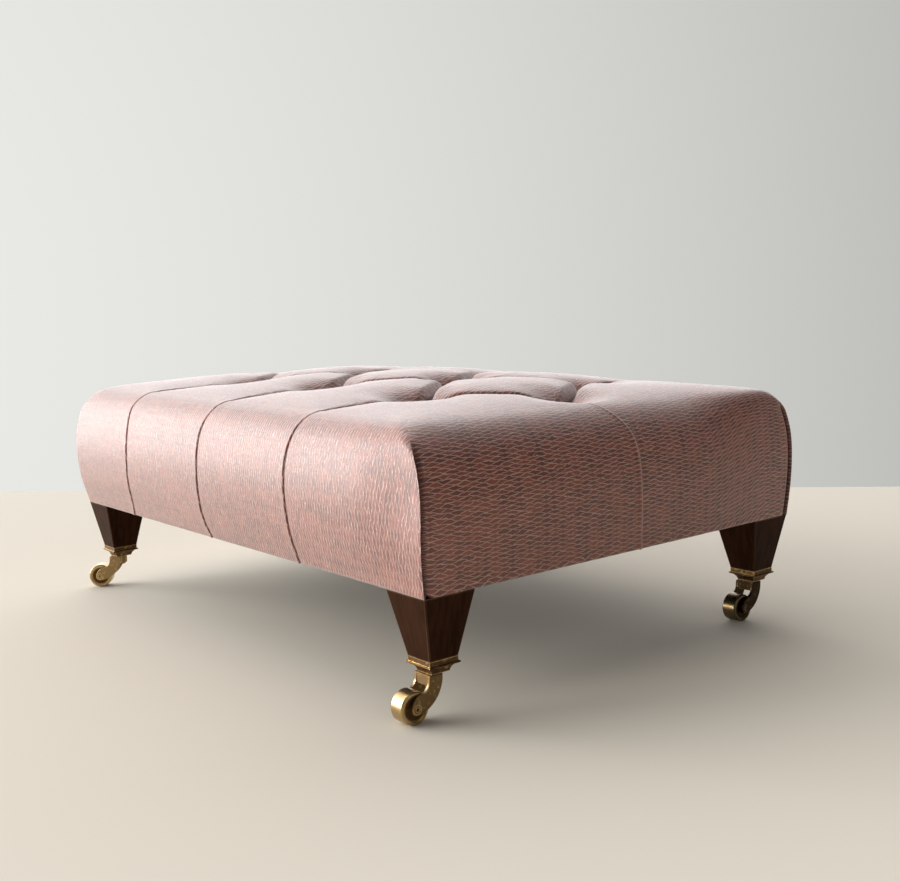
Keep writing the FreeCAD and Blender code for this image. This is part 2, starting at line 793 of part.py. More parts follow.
def build_leg(corner, side_x, side_y):
    """A square tapered leg with a tenon for the cup and a bore for its hanger bolt."""
    body = doc.addObject("PartDesign::Body", "leg")
    low = square_sketch(body, "leg_foot", "leg_low_side")
    taper = body.newObject("PartDesign::Pad", "leg_taper")
    taper.Profile = low
    tie(taper, "Length", "leg_length")
    tie(taper, "TaperAngle", "atan((leg_top_side - leg_low_side) / 2 / leg_length)")
    doc.recompute()
    slanted = []
    for number, edge in enumerate(taper.Shape.Edges, start=1):
        ends = [vertex.Point.z for vertex in edge.Vertexes]
        if abs(ends[0] - ends[1]) > size("leg_length") / 2:
            slanted.append("Edge%d" % number)
    easing = body.newObject("PartDesign::Fillet", "leg_easing")
    easing.Base = (taper, slanted)
    tie(easing, "Radius", "leg_edge_radius")
    tenon = body.newObject("PartDesign::Pad", "leg_tenon")
    tenon.Profile = square_sketch(body, "tenon_square", "socket_side - 2 * tenon_gap")
    tenon.Reversed = True
    tie(tenon, "Length", "tenon_height")
    bore = body.newObject("PartDesign::Pocket", "leg_bore")
    bore.Profile = disc_sketch(body, "bore_disc", "bolt_radius + glue_gap", "leg_length")
    tie(bore, "Length", "bolt_in_leg")
    body.Tip = bore
    move(body, "%d * leg_x" % side_x, "%d * leg_y" % side_y, "cup_top")
    doc.recompute()
    pins = []
    for along in ("x", "y"):
        pins.append(cup_pin_bore(side_x, side_y, along))
    keep(cut("leg_cut", body, pins), "leg_" + corner)


def build_fixings():
    bolts = []
    washers = []
    nuts = []
    for side_x, side_y in CORNERS.values():
        x = "%d * leg_x" % side_x
        y = "%d * leg_y" % side_y
        bolts.append(rod("bolt", "bolt_radius", "bolt_top - seat_low + bolt_in_leg",
                         x, y, "seat_low - bolt_in_leg"))
        hole = rod("hole", "bolt_radius + glue_gap", "washer_thick + nut_height", x, y, "counterbore_floor")
        disc = rod("washer_disc", "washer_radius", "washer_thick", x, y, "counterbore_floor")
        washers.append(cut("washer", disc, [hole]))
        prism = doc.addObject("Part::Prism", "nut_prism")
        prism.Polygon = 6
        tie(prism, "Circumradius", "nut_radius")
        tie(prism, "Height", "nut_height")
        move(prism, x, y, "counterbore_floor + washer_thick")
        nuts.append(cut("nut", prism, [hole]))
    keep(together("bolt_group", bolts), "leg_bolts")
    keep(together("washer_group", washers), "leg_washers")
    keep(together("nut_group", nuts), "leg_nuts")


# Castors


def cup_outline():
    """Right half of the cup's section, from its foot up to its rim."""
    foot = size("cup_foot_side") / 2
    lip = size("cup_lip_side") / 2
    band = size("leg_low_side") / 2
    low = size("cup_low")
    cove_low = low + size("cup_foot_height")
    lip_low = size("cup_lip_low")
    lip_top = lip_low + size("cup_lip_height")
    top = size("cup_top")
    cove_out = lip - size("cup_step")
    cove_start = Vector(foot, 0, cove_low)
    cove_end = Vector(cove_out, 0, lip_low)
    chord = cove_end - cove_start
    chord.normalize()
    hollow = (cove_start + cove_end) * 0.5 + Vector(-chord.z, 0, chord.x) * size("cup_cove_hollow")
    nose = Vector(lip, 0, (lip_low + lip_top) / 2)
    shy = lip - size("cup_lip_nose")
    return [
        Part.LineSegment(Vector(foot, 0, low), cove_start),
        Part.Arc(cove_start, hollow, cove_end),
        Part.LineSegment(cove_end, Vector(shy, 0, lip_low)),
        Part.Arc(Vector(shy, 0, lip_low), nose, Vector(shy, 0, lip_top)),
        Part.LineSegment(Vector(shy, 0, lip_top), Vector(band, 0, lip_top)),
        Part.LineSegment(Vector(band, 0, lip_top), Vector(band, 0, top)),
    ]


def moulded_block():
    """The moulding carried round a square: where two crossing lengths of it meet."""
    half = [piece.toShape() for piece in cup_outline()]
    mirrored = [edge.mirror(Vector(), Vector(1, 0, 0)) for edge in half]
    foot = size("cup_foot_side") / 2
    band = size("leg_low_side") / 2
    ends = [
        Part.LineSegment(Vector(-foot, 0, size("cup_low")), Vector(foot, 0, size("cup_low"))).toShape(),
        Part.LineSegment(Vector(-band, 0, size("cup_top")), Vector(band, 0, size("cup_top"))).toShape(),
    ]
    wire = Part.Wire(Part.__sortEdges__(half + mirrored + ends))
    side = size("cup_lip_side")
    face = Part.Face(wire)
    face.translate(Vector(0, -side, 0))
    one = face.extrude(Vector(0, 2 * side, 0))
    other = one.copy()
    other.rotate(Vector(), Vector(0, 0, 1), 90)
    return one.common(other)


def cup_shape():
    side = size("socket_side")
    socket = Part.makeBox(side, side, size("socket_depth"), Vector(-side / 2, -side / 2, size("socket_floor")))
    depth = size("socket_floor") - size("cup_low")
    hole = Part.makeCylinder(size("pivot_radius") + size("glue_gap"), depth, Vector(0, 0, size("cup_low")))
    return moulded_block().cut([socket, hole])


def cup_pin_parts(side_x, side_y, along, radius, start_out, length):
    """A rod square to an inner side of the cup, from start_out inwards to the leg's axis."""
    x = "%d * leg_x" % side_x
    y = "%d * leg_y" % side_y
    if along == "x":
        x = "%s - %d * (%s)" % (x, side_x, start_out)
        if side_x < 0:
            x = "%s - (%s)" % (x, length)
    else:
        y = "%s - %d * (%s)" % (y, side_y, start_out)
        if side_y < 0:
            y = "%s - (%s)" % (y, length)
    return rod("cup_pin", radius, length, x, y, "cup_pin_height", along)


def cup_pin_bore(side_x, side_y, along):
    return cup_pin_parts(side_x, side_y, along, "cup_pin_radius + glue_gap", "leg_low_side / 2",
                         "cup_pin_length")


def build_cup_pins():
    """Two small headed pins through the inner sides of each cup."""
    pins = []
    for side_x, side_y in CORNERS.values():
        for along in ("x", "y"):
            shank = cup_pin_parts(side_x, side_y, along, "cup_pin_radius", "leg_low_side / 2",
                                  "cup_pin_length")
            head = cup_pin_parts(side_x, side_y, along, "cup_pin_head_radius",
                                 "leg_low_side / 2 + cup_pin_head_thick", "cup_pin_head_thick")
            pins.append(fuse("cup_pin_whole", [shank, head]))
    keep(together("cup_pin_group", pins), "cup_pins")


def turned_by(direction, angle):
    """A direction in the XZ plane turned by an angle from +X towards +Z."""
    cosine = math.cos(angle)
    sine = math.sin(angle)
    return Vector(direction.x * cosine - direction.z * sine, 0, direction.x * sine + direction.z * cosine)


def arm_outline():
    """The comma-shaped arm seen from the side, with the castor trailing along +X."""
    top = size("horn_top")
    axle = Vector(size("castor_trail"), 0, size("axle_height"))
    back = Vector(-size("arm_back"), 0, top)
    front = Vector(size("crown_front"), 0, top)
    neck = front + Vector(size("arm_neck_out"), 0, -size("arm_neck_drop"))
    brow = axle + Vector(-size("arm_brow_back"), 0, size("arm_brow_height"))
    nose = axle + Vector(size("arm_nose"), 0, 0)
    chin = axle - Vector(0, 0, size("arm_chin_drop"))
    heel = axle - Vector(size("arm_heel"), 0, 0)
    pieces = [Part.LineSegment(back, front), Part.LineSegment(front, neck)]
    heading = neck - front
    heading.normalize()
    start = neck
    # Each arc leaves along the heading that the one before it ends with
    for end in (brow, nose, chin, heel, back):
        chord = end - start
        turn = 2 * math.atan2(heading.x * chord.z - heading.z * chord.x, heading.dot(chord))
        middle = start + turned_by(heading, turn / 4) * (chord.Length / 2 / math.cos(turn / 4))
        pieces.append(Part.Arc(start, middle, end))
        heading = turned_by(heading, turn)
        start = end
    return Part.Face(Part.Wire([piece.toShape() for piece in pieces]))


def horn_shape():
    """A round boss and a crown over the wheel, with an arm down each side of it."""
    top = size("horn_top")
    inside = size("fork_inside")
    outside = size("fork_outside")
    easing = size("arm_edge_radius")
    arms = []
    for side in (-1, 1):
        plate = arm_outline()
        plate.translate(Vector(0, inside if side > 0 else -outside, 0))
        arm = plate.extrude(Vector(0, size("arm_thick"), 0))
        rim = [edge for edge in arm.Edges
               if all(abs(vertex.Y - side * outside) < 0.001 for vertex in edge.Vertexes)]
        arms.append(arm.makeFillet(easing, rim))
        pad = Part.makeCylinder(size("arm_pad_radius"), easing + size("arm_pad_thick"),
                                Vector(size("castor_trail"), side * (outside - easing), size("axle_height")),
                                Vector(0, side, 0))
        arms.append(pad)
    long = size("crown_front") + size("arm_back")
    wide = 2 * inside + size("arm_thick")
    thick = size("crown_thick")
    crown = Part.makeBox(long, wide, thick, Vector(-size("arm_back"), -wide / 2, top - thick))
    boss_height = size("pivot_boss_height")
    boss = Part.makeCylinder(size("pivot_boss_radius"), boss_height, Vector(0, 0, top - boss_height))
    round_edges = [edge for edge in boss.Edges if abs(edge.CenterOfMass.z - top + boss_height) < 0.001]
    boss = boss.makeFillet(2 * easing, round_edges)
    whole = crown.fuse([boss] + arms).removeSplitter()
    pin_hole = Part.makeCylinder(size("pivot_radius") + size("running_gap"), boss_height,
                                 Vector(0, 0, top - boss_height))
    axle_hole = Part.makeCylinder(size("axle_radius") + size("glue_gap") / 2, 4 * outside,
                                  Vector(size("castor_trail"), -2 * outside, size("axle_height")),
                                  Vector(0, 1, 0))
    return whole.cut([pin_hole, axle_hole])


def build_wheel(corner, at):
    """A brass roller, dished on both sides between its rim and its hub."""
    body = doc.addObject("PartDesign::Body", "wheel")
    half = "wheel_width / 2"
    dish = "wheel_width / 2 - wheel_dish"
    inner = "wheel_diameter / 2 - wheel_rim"
    bore = "axle_radius + running_gap"
    feature = turned(body, "wheel", [
        (bore, "-(%s)" % half),
        ("wheel_hub_radius", "-(%s)" % half),
        ("wheel_hub_radius", "-(%s)" % dish),
        (inner, "-(%s)" % dish),
        (inner, "-(%s)" % half),
        ("wheel_diameter / 2", "-(%s)" % half),
        ("wheel_diameter / 2", half),
        (inner, half),
        (inner, dish),
        ("wheel_hub_radius", dish),
        ("wheel_hub_radius", half),
        (bore, half),
    ])
    doc.recompute()
    rims = []
    for number, edge in enumerate(feature.Shape.Edges, start=1):
        if edge.Curve.TypeId == "Part::GeomCircle" and edge.Curve.Radius > size("wheel_diameter") / 2 - 0.01:
            rims.append("Edge%d" % number)
    easing = body.newObject("PartDesign::Fillet", "wheel_easing")
    easing.Base = (feature, rims)
    tie(easing, "Radius", "wheel_edge_radius")
    body.Tip = easing
    body.Placement = at
    keep(body, "wheel_" + corner)


def build_castor(corner, side_x, side_y):
    """One castor: cup, pivot, horn, wheel and axle pin."""
    trail = Rotation(Vector(0, 0, 1), size("trail_" + corner))
    foot = Vector(side_x * size("leg_x"), side_y * size("leg_y"), 0)

    cup = made("cup_block", cup_shape())
    cup.Placement = Placement(foot, Rotation())
    pins = [cup_pin_bore(side_x, side_y, along) for along in ("x", "y")]
    keep(cut("cup_cut", cup, pins), "castor_cup_" + corner)

    pivot = doc.addObject("PartDesign::Body", "pivot")
    turned(pivot, "pivot", [
        ("0", "boss_low - pivot_tail_gap - pivot_tail_height"),
        ("pivot_tail_radius", "boss_low - pivot_tail_gap - pivot_tail_height"),
        ("pivot_tail_radius", "boss_low - pivot_tail_gap"),
        ("pivot_radius", "boss_low - pivot_tail_gap"),
        ("pivot_radius", "socket_floor"),
        ("pivot_head_radius", "socket_floor"),
        ("pivot_head_radius", "socket_floor + pivot_head_height"),
        ("0", "socket_floor + pivot_head_height"),
    ])
    pivot.Placement = Placement(foot, Rotation())
    keep(pivot, "pivot_" + corner)

    horn = made("horn_shape", horn_shape())
    horn.Placement = Placement(foot, trail)
    keep(horn, "castor_horn_" + corner)

    axle = foot + trail.multVec(Vector(size("castor_trail"), 0, size("axle_height")))
    sideways = trail.multiply(Rotation(Vector(1, 0, 0), -90))
    build_wheel(corner, Placement(axle, sideways))

    pin = doc.addObject("Part::Cylinder", "axle_pin")
    tie(pin, "Radius", "axle_radius")
    tie(pin, "Height", "2 * axle_reach")
    pin.Placement = Placement(axle - trail.multVec(Vector(0, size("axle_reach"), 0)), sideways)
    keep(pin, "axle_pin_" + corner)


build_frame()
build_buttons()
doc.recompute()
build_webbing()
build_upholstery()
build_bottom()
build_fixings()
for corner, (side_x, side_y) in CORNERS.items():
    build_leg(corner, side_x, side_y)
    build_castor(corner, side_x, side_y)
build_cup_pins()
doc.recompute()

for item in doc.Objects:
    for word in ("Invalid", "Error"):
        if word in item.State:
            raise RuntimeError("%s (%s) is %s" % (item.Name, item.Label, word))
for item in sub_parts:
    if item.Shape.isNull() or not item.Shape.isValid():
        raise RuntimeError("%s has no valid shape" % item.Label)

os.makedirs("parts", exist_ok=True)
for item in sub_parts:
    item.Shape.exportStep(os.path.join("parts", item.Label + ".step"))
    print("%-28s %2d solids %12.1f mm3" % (item.Label, len(item.Shape.Solids), item.Shape.Volume))
print("%d sub-parts" % len(sub_parts))
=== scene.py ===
import math

import bmesh
import bpy
import numpy as np
from mathutils import Matrix, Vector


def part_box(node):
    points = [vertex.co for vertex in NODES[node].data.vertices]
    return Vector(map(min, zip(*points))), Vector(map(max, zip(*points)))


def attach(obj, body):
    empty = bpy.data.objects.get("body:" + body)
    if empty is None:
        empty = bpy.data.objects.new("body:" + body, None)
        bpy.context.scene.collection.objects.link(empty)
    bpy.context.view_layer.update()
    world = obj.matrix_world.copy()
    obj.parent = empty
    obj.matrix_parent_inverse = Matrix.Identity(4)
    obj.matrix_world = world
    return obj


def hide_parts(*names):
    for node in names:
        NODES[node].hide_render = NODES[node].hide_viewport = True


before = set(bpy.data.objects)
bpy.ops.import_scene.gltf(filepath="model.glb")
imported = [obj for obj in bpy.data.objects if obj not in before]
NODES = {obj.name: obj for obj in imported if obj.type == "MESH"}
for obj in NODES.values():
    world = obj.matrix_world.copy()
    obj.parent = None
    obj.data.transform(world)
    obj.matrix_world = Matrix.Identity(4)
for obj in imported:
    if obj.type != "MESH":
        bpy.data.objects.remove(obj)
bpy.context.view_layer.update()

# Footstool: looks. Metres in Blender; the seat's own shape is worked out in millimetres.

SEAT_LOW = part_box("cover")[0][2] * 1000
# The buttons' spacing in a row, the rows' spacing, and how far the pattern stands to the right
BUTTON_PITCH, ROW_PITCH, SHIFT = 153.0, 110.0, 22.0


# Node building


class Shader:
    """A material's node tree with short ways to add nodes."""

    def __init__(self, name):
        self.material = bpy.data.materials.new(name)
        self.material.use_nodes = True
        self.tree = self.material.node_tree
        self.tree.nodes.clear()
        out = self.add("ShaderNodeOutputMaterial")
        self.surface = self.add("ShaderNodeBsdfPrincipled")
        self.tree.links.new(self.surface.outputs[0], out.inputs[0])

    def add(self, kind, **settings):
        node = self.tree.nodes.new(kind)
        for key, value in settings.items():
            setattr(node, key, value)
        return node

    def feed(self, socket, value):
        """Links a socket, or sets it to a plain value."""
        if isinstance(value, bpy.types.NodeSocket):
            self.tree.links.new(value, socket)
        elif isinstance(value, tuple) and len(value) == 3 and socket.type == "RGBA":
            socket.default_value = (*value, 1)
        else:
            socket.default_value = value

    def put(self, name, value):
        self.feed(self.surface.inputs[name], value)

    def math(self, operation, first, second=0.0, third=0.0, clamp=False):
        node = self.add("ShaderNodeMath", operation=operation, use_clamp=clamp)
        for socket, value in zip(node.inputs, (first, second, third)):
            self.feed(socket, value)
        return node.outputs[0]

    def mix(self, amount, first, second):
        node = self.add("ShaderNodeMix", data_type="RGBA")
        self.feed(node.inputs[0], amount)
        self.feed(node.inputs[6], first)
        self.feed(node.inputs[7], second)
        return node.outputs[2]

    def ramp(self, value, low, high, to_low=0.0, to_high=1.0):
        node = self.add("ShaderNodeMapRange", interpolation_type="SMOOTHSTEP")
        for socket, number in zip(node.inputs, (value, low, high, to_low, to_high)):
            self.feed(socket, number)
        return node.outputs[0]

    def place(self):
        """The surface point in the row frame, since every piece stays at the origin."""
        return self.add("ShaderNodeTexCoord").outputs["Object"]

    def scaled(self, vector, scale):
        node = self.add("ShaderNodeVectorMath", operation="MULTIPLY")
        self.feed(node.inputs[0], vector)
        node.inputs[1].default_value = scale
        return node.outputs[0]

    def split(self, vector):
        node = self.add("ShaderNodeSeparateXYZ")
        self.feed(node.inputs[0], vector)
        return node.outputs[0], node.outputs[1], node.outputs[2]

    def noise(self, vector, scale, detail=3.0, rough=0.55):
        node = self.add("ShaderNodeTexNoise")
        self.feed(node.inputs["Vector"], vector)
        node.inputs["Scale"].default_value = scale
        node.inputs["Detail"].default_value = detail
        node.inputs["Roughness"].default_value = rough
        return node.outputs[0]

    def bump(self, height, distance, strength):
        node = self.add("ShaderNodeBump")
        node.inputs["Strength"].default_value = strength
        node.inputs["Distance"].default_value = distance
        self.feed(node.inputs["Height"], height)
        return node.outputs[0]

    def edges(self, radius):
        """1 on the piece's sharp edges and 0 on its flats."""
        bevel = self.add("ShaderNodeBevel", samples=8)
        bevel.inputs["Radius"].default_value = radius
        turn = self.add("ShaderNodeVectorMath", operation="DOT_PRODUCT")
        self.feed(turn.inputs[0], bevel.outputs[0])
        self.feed(turn.inputs[1], self.add("ShaderNodeNewGeometry").outputs["Normal"])
        return self.ramp(turn.outputs["Value"], 0.995, 0.90)


# Materials

LOZENGE_WIDE, LOZENGE_LONG = 0.0039, 0.0185


def cloth_material():
    """A small net of pale threads around dull red lozenges that differ in darkness."""
    s = Shader("woven_lozenges")
    flat = s.add("ShaderNodeAttribute", attribute_name="cloth").outputs["Vector"]
    across, along = s.split(flat)[:2]
    wander = s.noise(flat, 60.0, 2.0)
    shiver = s.noise(s.scaled(flat, (420.0, 130.0, 1.0)), 1.0, 1.0)
    sway = s.math("MULTIPLY", s.math("SUBTRACT", wander, 0.5), 1.3)
    sway = s.math("ADD", sway, s.math("MULTIPLY", s.math("SUBTRACT", shiver, 0.5), 0.5))
    u = s.math("ADD", s.math("MULTIPLY", across, 1 / LOZENGE_WIDE), sway)
    v = s.math("MULTIPLY", along, 1 / LOZENGE_LONG)
    p = s.math("ADD", u, v)
    q = s.math("SUBTRACT", u, v)
    near_p = s.math("MULTIPLY", s.math("ABSOLUTE", s.math("SUBTRACT", s.math("FRACT", p), 0.5)), 2.0)
    near_q = s.math("MULTIPLY", s.math("ABSOLUTE", s.math("SUBTRACT", s.math("FRACT", q), 0.5)), 2.0)
    nearest = s.math("MAXIMUM", near_p, near_q)
    strands = s.noise(s.scaled(flat, (1500.0, 160.0, 1.0)), 1.0, 2.0)
    net = s.ramp(s.math("ADD", nearest, s.math("MULTIPLY", strands, 0.26)), 0.88, 1.11)
    cell = s.add("ShaderNodeCombineXYZ")
    s.feed(cell.inputs[0], s.math("FLOOR", p))
    s.feed(cell.inputs[1], s.math("FLOOR", q))
    chance = s.add("ShaderNodeTexWhiteNoise", noise_dimensions="3D")
    s.feed(chance.inputs["Vector"], cell.outputs[0])
    columns = s.noise(s.scaled(flat, (9.0, 62.0, 1.0)), 1.0, 2.0)
    dark = s.ramp(s.math("ADD", s.math("MULTIPLY", chance.outputs[0], 0.55), columns), 0.50, 1.05)
    lozenge = s.mix(dark, (0.26, 0.048, 0.022), (0.130, 0.014, 0.005))
    pale = s.mix(s.ramp(strands, 0.3, 0.7), (0.48, 0.265, 0.195), (0.61, 0.395, 0.315))
    colour = s.mix(net, lozenge, pale)
    # Folds and seams: painted shade darkens the cloth inside them, and a painted highlight lightens their
    # backs.
    # The slits are painted shade; they run along the lines that join the buttons, out to the outermost ones, on
    # the top only.
    # The crease attribute carries painted shade, and a painted highlight where it is negative.
    fold = s.add("ShaderNodeAttribute", attribute_name="crease").outputs["Fac"]
    x, y, z = s.split(s.place())
    lattice_x = s.math("MULTIPLY", s.math("SUBTRACT", x, SHIFT * 0.001), 1000 / BUTTON_PITCH)
    lattice_y = s.math("MULTIPLY", y, 500 / ROW_PITCH)
    one = s.math("ADD", lattice_x, lattice_y)
    other = s.math("SUBTRACT", lattice_x, lattice_y)
    away = s.math("MINIMUM", s.math("ABSOLUTE", s.math("SUBTRACT", s.math("FRACT", one), 0.5)),
                  s.math("ABSOLUTE", s.math("SUBTRACT", s.math("FRACT", other), 0.5)))
    painted_slit_shade = s.ramp(away, 0.014, 0.036, 1.0, 0.0)
    reach = s.math("MAXIMUM", s.math("ABSOLUTE", one), s.math("ABSOLUTE", other))
    painted_slit_shade = s.math("MULTIPLY", painted_slit_shade, s.ramp(reach, 1.50, 1.53, 1.0, 0.0))
    painted_slit_shade = s.math("MULTIPLY", painted_slit_shade, s.ramp(s.math("ABSOLUTE", y), 0.109, 0.112, 1.0, 0.0))
    painted_slit_shade = s.math("MULTIPLY", painted_slit_shade, s.ramp(z, 0.205, 0.212))
    painted_fold_shade = s.math("MAXIMUM", s.math("MAXIMUM", fold, 0.0), s.math("MULTIPLY", painted_slit_shade, 0.9))
    back = s.math("MAXIMUM", s.math("MULTIPLY", fold, -1.0), 0.0)
    # Painted highlight on the backs of folds and ridges.
    colour = s.mix(back, colour, (0.66, 0.36, 0.27))
    # Painted shade inside folds, seams and slits.
    colour = s.mix(painted_fold_shade, colour, (0.030, 0.007, 0.004))
    s.put("Base Color", colour)
    s.put("Roughness", s.math("MAXIMUM", s.ramp(net, 0.0, 1.0, 0.56, 0.46), s.math("MULTIPLY", painted_fold_shade, 0.9)))
    s.put("Metallic", s.math("MULTIPLY", net, s.ramp(painted_fold_shade, 0.0, 1.0, 0.18, 0.0)))
    s.put("Specular IOR Level", 0.2)
    s.put("Coat Weight", s.ramp(painted_fold_shade, 0.0, 1.0, 1.0, 0.15))
    s.put("Coat Roughness", 0.46)
    s.put("Coat IOR", 1.6)
    s.put("Sheen Weight", 0.55)
    s.put("Sheen Roughness", 0.5)
    s.put("Sheen Tint", (1.0, 0.97, 0.97))
    raised = s.math("ADD", s.math("MULTIPLY", net, 0.8), s.math("MULTIPLY", strands, 0.35))
    surface = s.bump(raised, 0.0003, 0.7)
    s.put("Normal", surface)
    s.put("Coat Normal", surface)
    return s.material


def leg_material():
    s = Shader("dark_mahogany")
    place = s.place()
    grain = s.noise(s.scaled(place, (260.0, 260.0, 9.0)), 1.0, 5.0, 0.62)
    broad = s.noise(s.scaled(place, (35.0, 35.0, 6.0)), 1.0, 2.0)
    tone = s.mix(s.ramp(grain, 0.35, 0.7), (0.018, 0.006, 0.002), (0.040, 0.013, 0.0045))
    tone = s.mix(s.ramp(broad, 0.35, 0.7, 0.0, 0.5), tone, (0.050, 0.018, 0.007))
    # The stain is rubbed thin along the corners, more in some places than in others
    rubbed = s.math("MULTIPLY", s.edges(0.0030), s.ramp(broad, 0.40, 0.62, 0.45, 1.0))
    tone = s.mix(rubbed, tone, (0.150, 0.085, 0.050))
    s.put("Base Color", tone)
    s.put("Roughness", s.ramp(broad, 0.3, 0.7, 0.38, 0.50))
    s.put("Specular IOR Level", 0.04)
    s.put("Normal", s.bump(grain, 0.00012, 0.5))
    return s.material


def brass_material(name, bright=0.0, hub=None, tone=1.0):
    """Aged brass: brown in the hollows and on the flats, bright where it is rubbed. Bright lightens the whole
    piece, painted light, and a tone below 1 darkens it, painted shade.
    """
    s = Shader(name)
    place = s.place()
    blotch = s.noise(place, 260.0, 4.0, 0.6)
    fine = s.noise(place, 1900.0, 2.0)
    edge = s.edges(0.0009)
    rubbed = s.math("ADD", s.math("MULTIPLY", edge, 0.8), s.ramp(blotch, 0.52, 0.72, 0.0, 0.35), clamp=True)
    if hub is not None:
        off = s.add("ShaderNodeVectorMath", operation="DISTANCE")
        s.feed(off.inputs[0], place)
        off.inputs[1].default_value = hub
        tread = s.ramp(off.outputs["Value"], 0.0108, 0.0128)
        rubbed = s.math("MULTIPLY", rubbed, s.math("ADD", s.math("MULTIPLY", tread, 0.7), 0.3))
        rubbed = s.math("ADD", rubbed, s.math("MULTIPLY", tread, 0.7), clamp=True)
    # Painted light: bright lightens the brass all over on a castor that stands in the light.
    rubbed = s.math("ADD", rubbed, bright, clamp=True)
    # Painted shade: a tone below 1 darkens the brass of a castor that stands in shade.
    hollow = tuple(tone * part for part in (0.125, 0.066, 0.026))
    colour = s.mix(rubbed, hollow, tuple(min(1.0, tone) * part for part in (0.80, 0.58, 0.28)))
    s.put("Base Color", colour)
    s.put("Metallic", 1.0)
    s.put("Roughness", s.ramp(rubbed, 0.0, 1.0, 0.50, 0.24))
    s.put("Normal", s.bump(s.math("ADD", blotch, s.math("MULTIPLY", fine, 0.3)), 0.00012, 0.5))
    return s.material


def wood_material():
    s = Shader("planed_beech")
    place = s.place()
    grain = s.noise(s.scaled(place, (12.0, 12.0, 260.0)), 1.0, 4.0, 0.6)
    fleck = s.noise(s.scaled(place, (90.0, 90.0, 1400.0)), 1.0, 2.0)
    tone = s.mix(s.ramp(grain, 0.3, 0.7), (0.50, 0.32, 0.17), (0.62, 0.43, 0.26))
    tone = s.mix(s.ramp(fleck, 0.55, 0.75, 0.0, 0.4), tone, (0.36, 0.21, 0.11))
    s.put("Base Color", tone)
    s.put("Roughness", 0.62)
    s.put("Normal", s.bump(grain, 0.0002, 0.5))
    return s.material


def plain_weave(name, light, shade, pitch, rough=0.9):
    """Over-and-under weave of two thread directions."""
    s = Shader(name)
    x, y, z = s.split(s.place())
    warp = s.math("SINE", s.math("MULTIPLY", s.math("ADD", x, z), math.tau / pitch))
    weft = s.math("SINE", s.math("MULTIPLY", s.math("SUBTRACT", y, z), math.tau / pitch))
    crossed = s.math("ADD", s.math("MULTIPLY", s.math("MULTIPLY", warp, weft), 0.5), 0.5)
    uneven = s.noise(s.place(), 120.0, 3.0)
    tone = s.mix(s.ramp(s.math("ADD", crossed, uneven), 0.5, 1.5), shade, light)
    s.put("Base Color", tone)
    s.put("Roughness", rough)
    s.put("Sheen Weight", 0.2)
    s.put("Normal", s.bump(crossed, pitch * 0.3, 0.8))
    return s.material


def steel_material(name, tone, rough):
    s = Shader(name)
    blotch = s.noise(s.place(), 300.0, 4.0)
    s.put("Base Color", s.mix(blotch, tone, tuple(0.6 * part for part in tone)))
    s.put("Metallic", 1.0)
    s.put("Roughness", s.ramp(blotch, 0.3, 0.7, rough, rough + 0.2))
    return s.material


CLOTH = cloth_material()
LEG = leg_material()
BRASS = brass_material("aged_brass")
# How much each castor's brass is painted lighter, and its tone: painted light and shade by where each castor
# stands, lightest for the front-left one in the light and nearly black for the back-right one in shade. The
# rollers are a fifth darker than the horns.
CASTOR_PAINTED_LIGHT = {
    "front_right": (0.15, 1.0),
    "front_left": (0.35, 1.0),
    "back_right": (0.0, 0.32),
    "back_left": (0.15, 0.9),
}
HORNS = {}
ROLLERS = {}
for corner, (bright, tone) in CASTOR_PAINTED_LIGHT.items():
    box_low, box_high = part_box("wheel_" + corner)
    middle = tuple((a + b) / 2 for a, b in zip(box_low, box_high))
    ROLLERS["wheel_" + corner] = brass_material("roller_brass_" + corner, 0.0, middle, 0.8 * tone)
    HORNS["castor_horn_" + corner] = brass_material("horn_brass_" + corner, bright, None, tone)
WOOD = wood_material()
WEBBING = plain_weave("jute_webbing", (0.50, 0.38, 0.24), (0.26, 0.18, 0.10), 0.0032)
HESSIAN = plain_weave("hessian_weave", (0.60, 0.47, 0.30), (0.34, 0.25, 0.14), 0.0016)
LINING = plain_weave("black_lining", (0.045, 0.044, 0.046), (0.015, 0.015, 0.016), 0.0008)
TWINE = plain_weave("waxed_twine", (0.62, 0.54, 0.40), (0.40, 0.33, 0.22), 0.0009)
STEEL = steel_material("plain_steel", (0.55, 0.55, 0.56), 0.3)
BLUED = steel_material("blued_steel_heads", (0.16, 0.17, 0.2), 0.35)


def paint(node, material):
    thing = NODES[node]
    for place in thing.material_slots:
        place.link = "OBJECT"
        place.material = material


for node in NODES:
    if node.startswith("leg_") and node not in ("leg_bolts", "leg_nuts", "leg_washers"):
        paint(node, LEG)
    elif node.startswith("wheel_"):
        paint(node, ROLLERS[node])
    elif node.startswith("castor_horn"):
        paint(node, HORNS[node])
    elif node.startswith(("castor_", "pivot_", "axle_", "cup_")):
        paint(node, BRASS)
    elif node.startswith(("long_rail", "short_rail", "corner_post", "dowels")):
        paint(node, WOOD)
    elif node.startswith("webbing"):
        paint(node, WEBBING)
    elif node == "hessian":
        paint(node, HESSIAN)
    elif node == "bottom_cloth":
        paint(node, LINING)
    elif node == "button_twines":
        paint(node, TWINE)
    elif node == "bottom_tacks":
        paint(node, BLUED)
    elif node.startswith("leg_"):
        paint(node, STEEL)


# Seat cushion, in millimetres above its lower edge until it is made

# Half the length and width of the lower edge, the height of the top's edge, and the crown's rise above it
HALF_X, HALF_Y = 330.0, 227.5
EDGE, CROWN = 131.0, 19.0
# Cells of the grid along X, along Y and up the sides
ACROSS, ALONG, UPWARD = 156, 110, 30
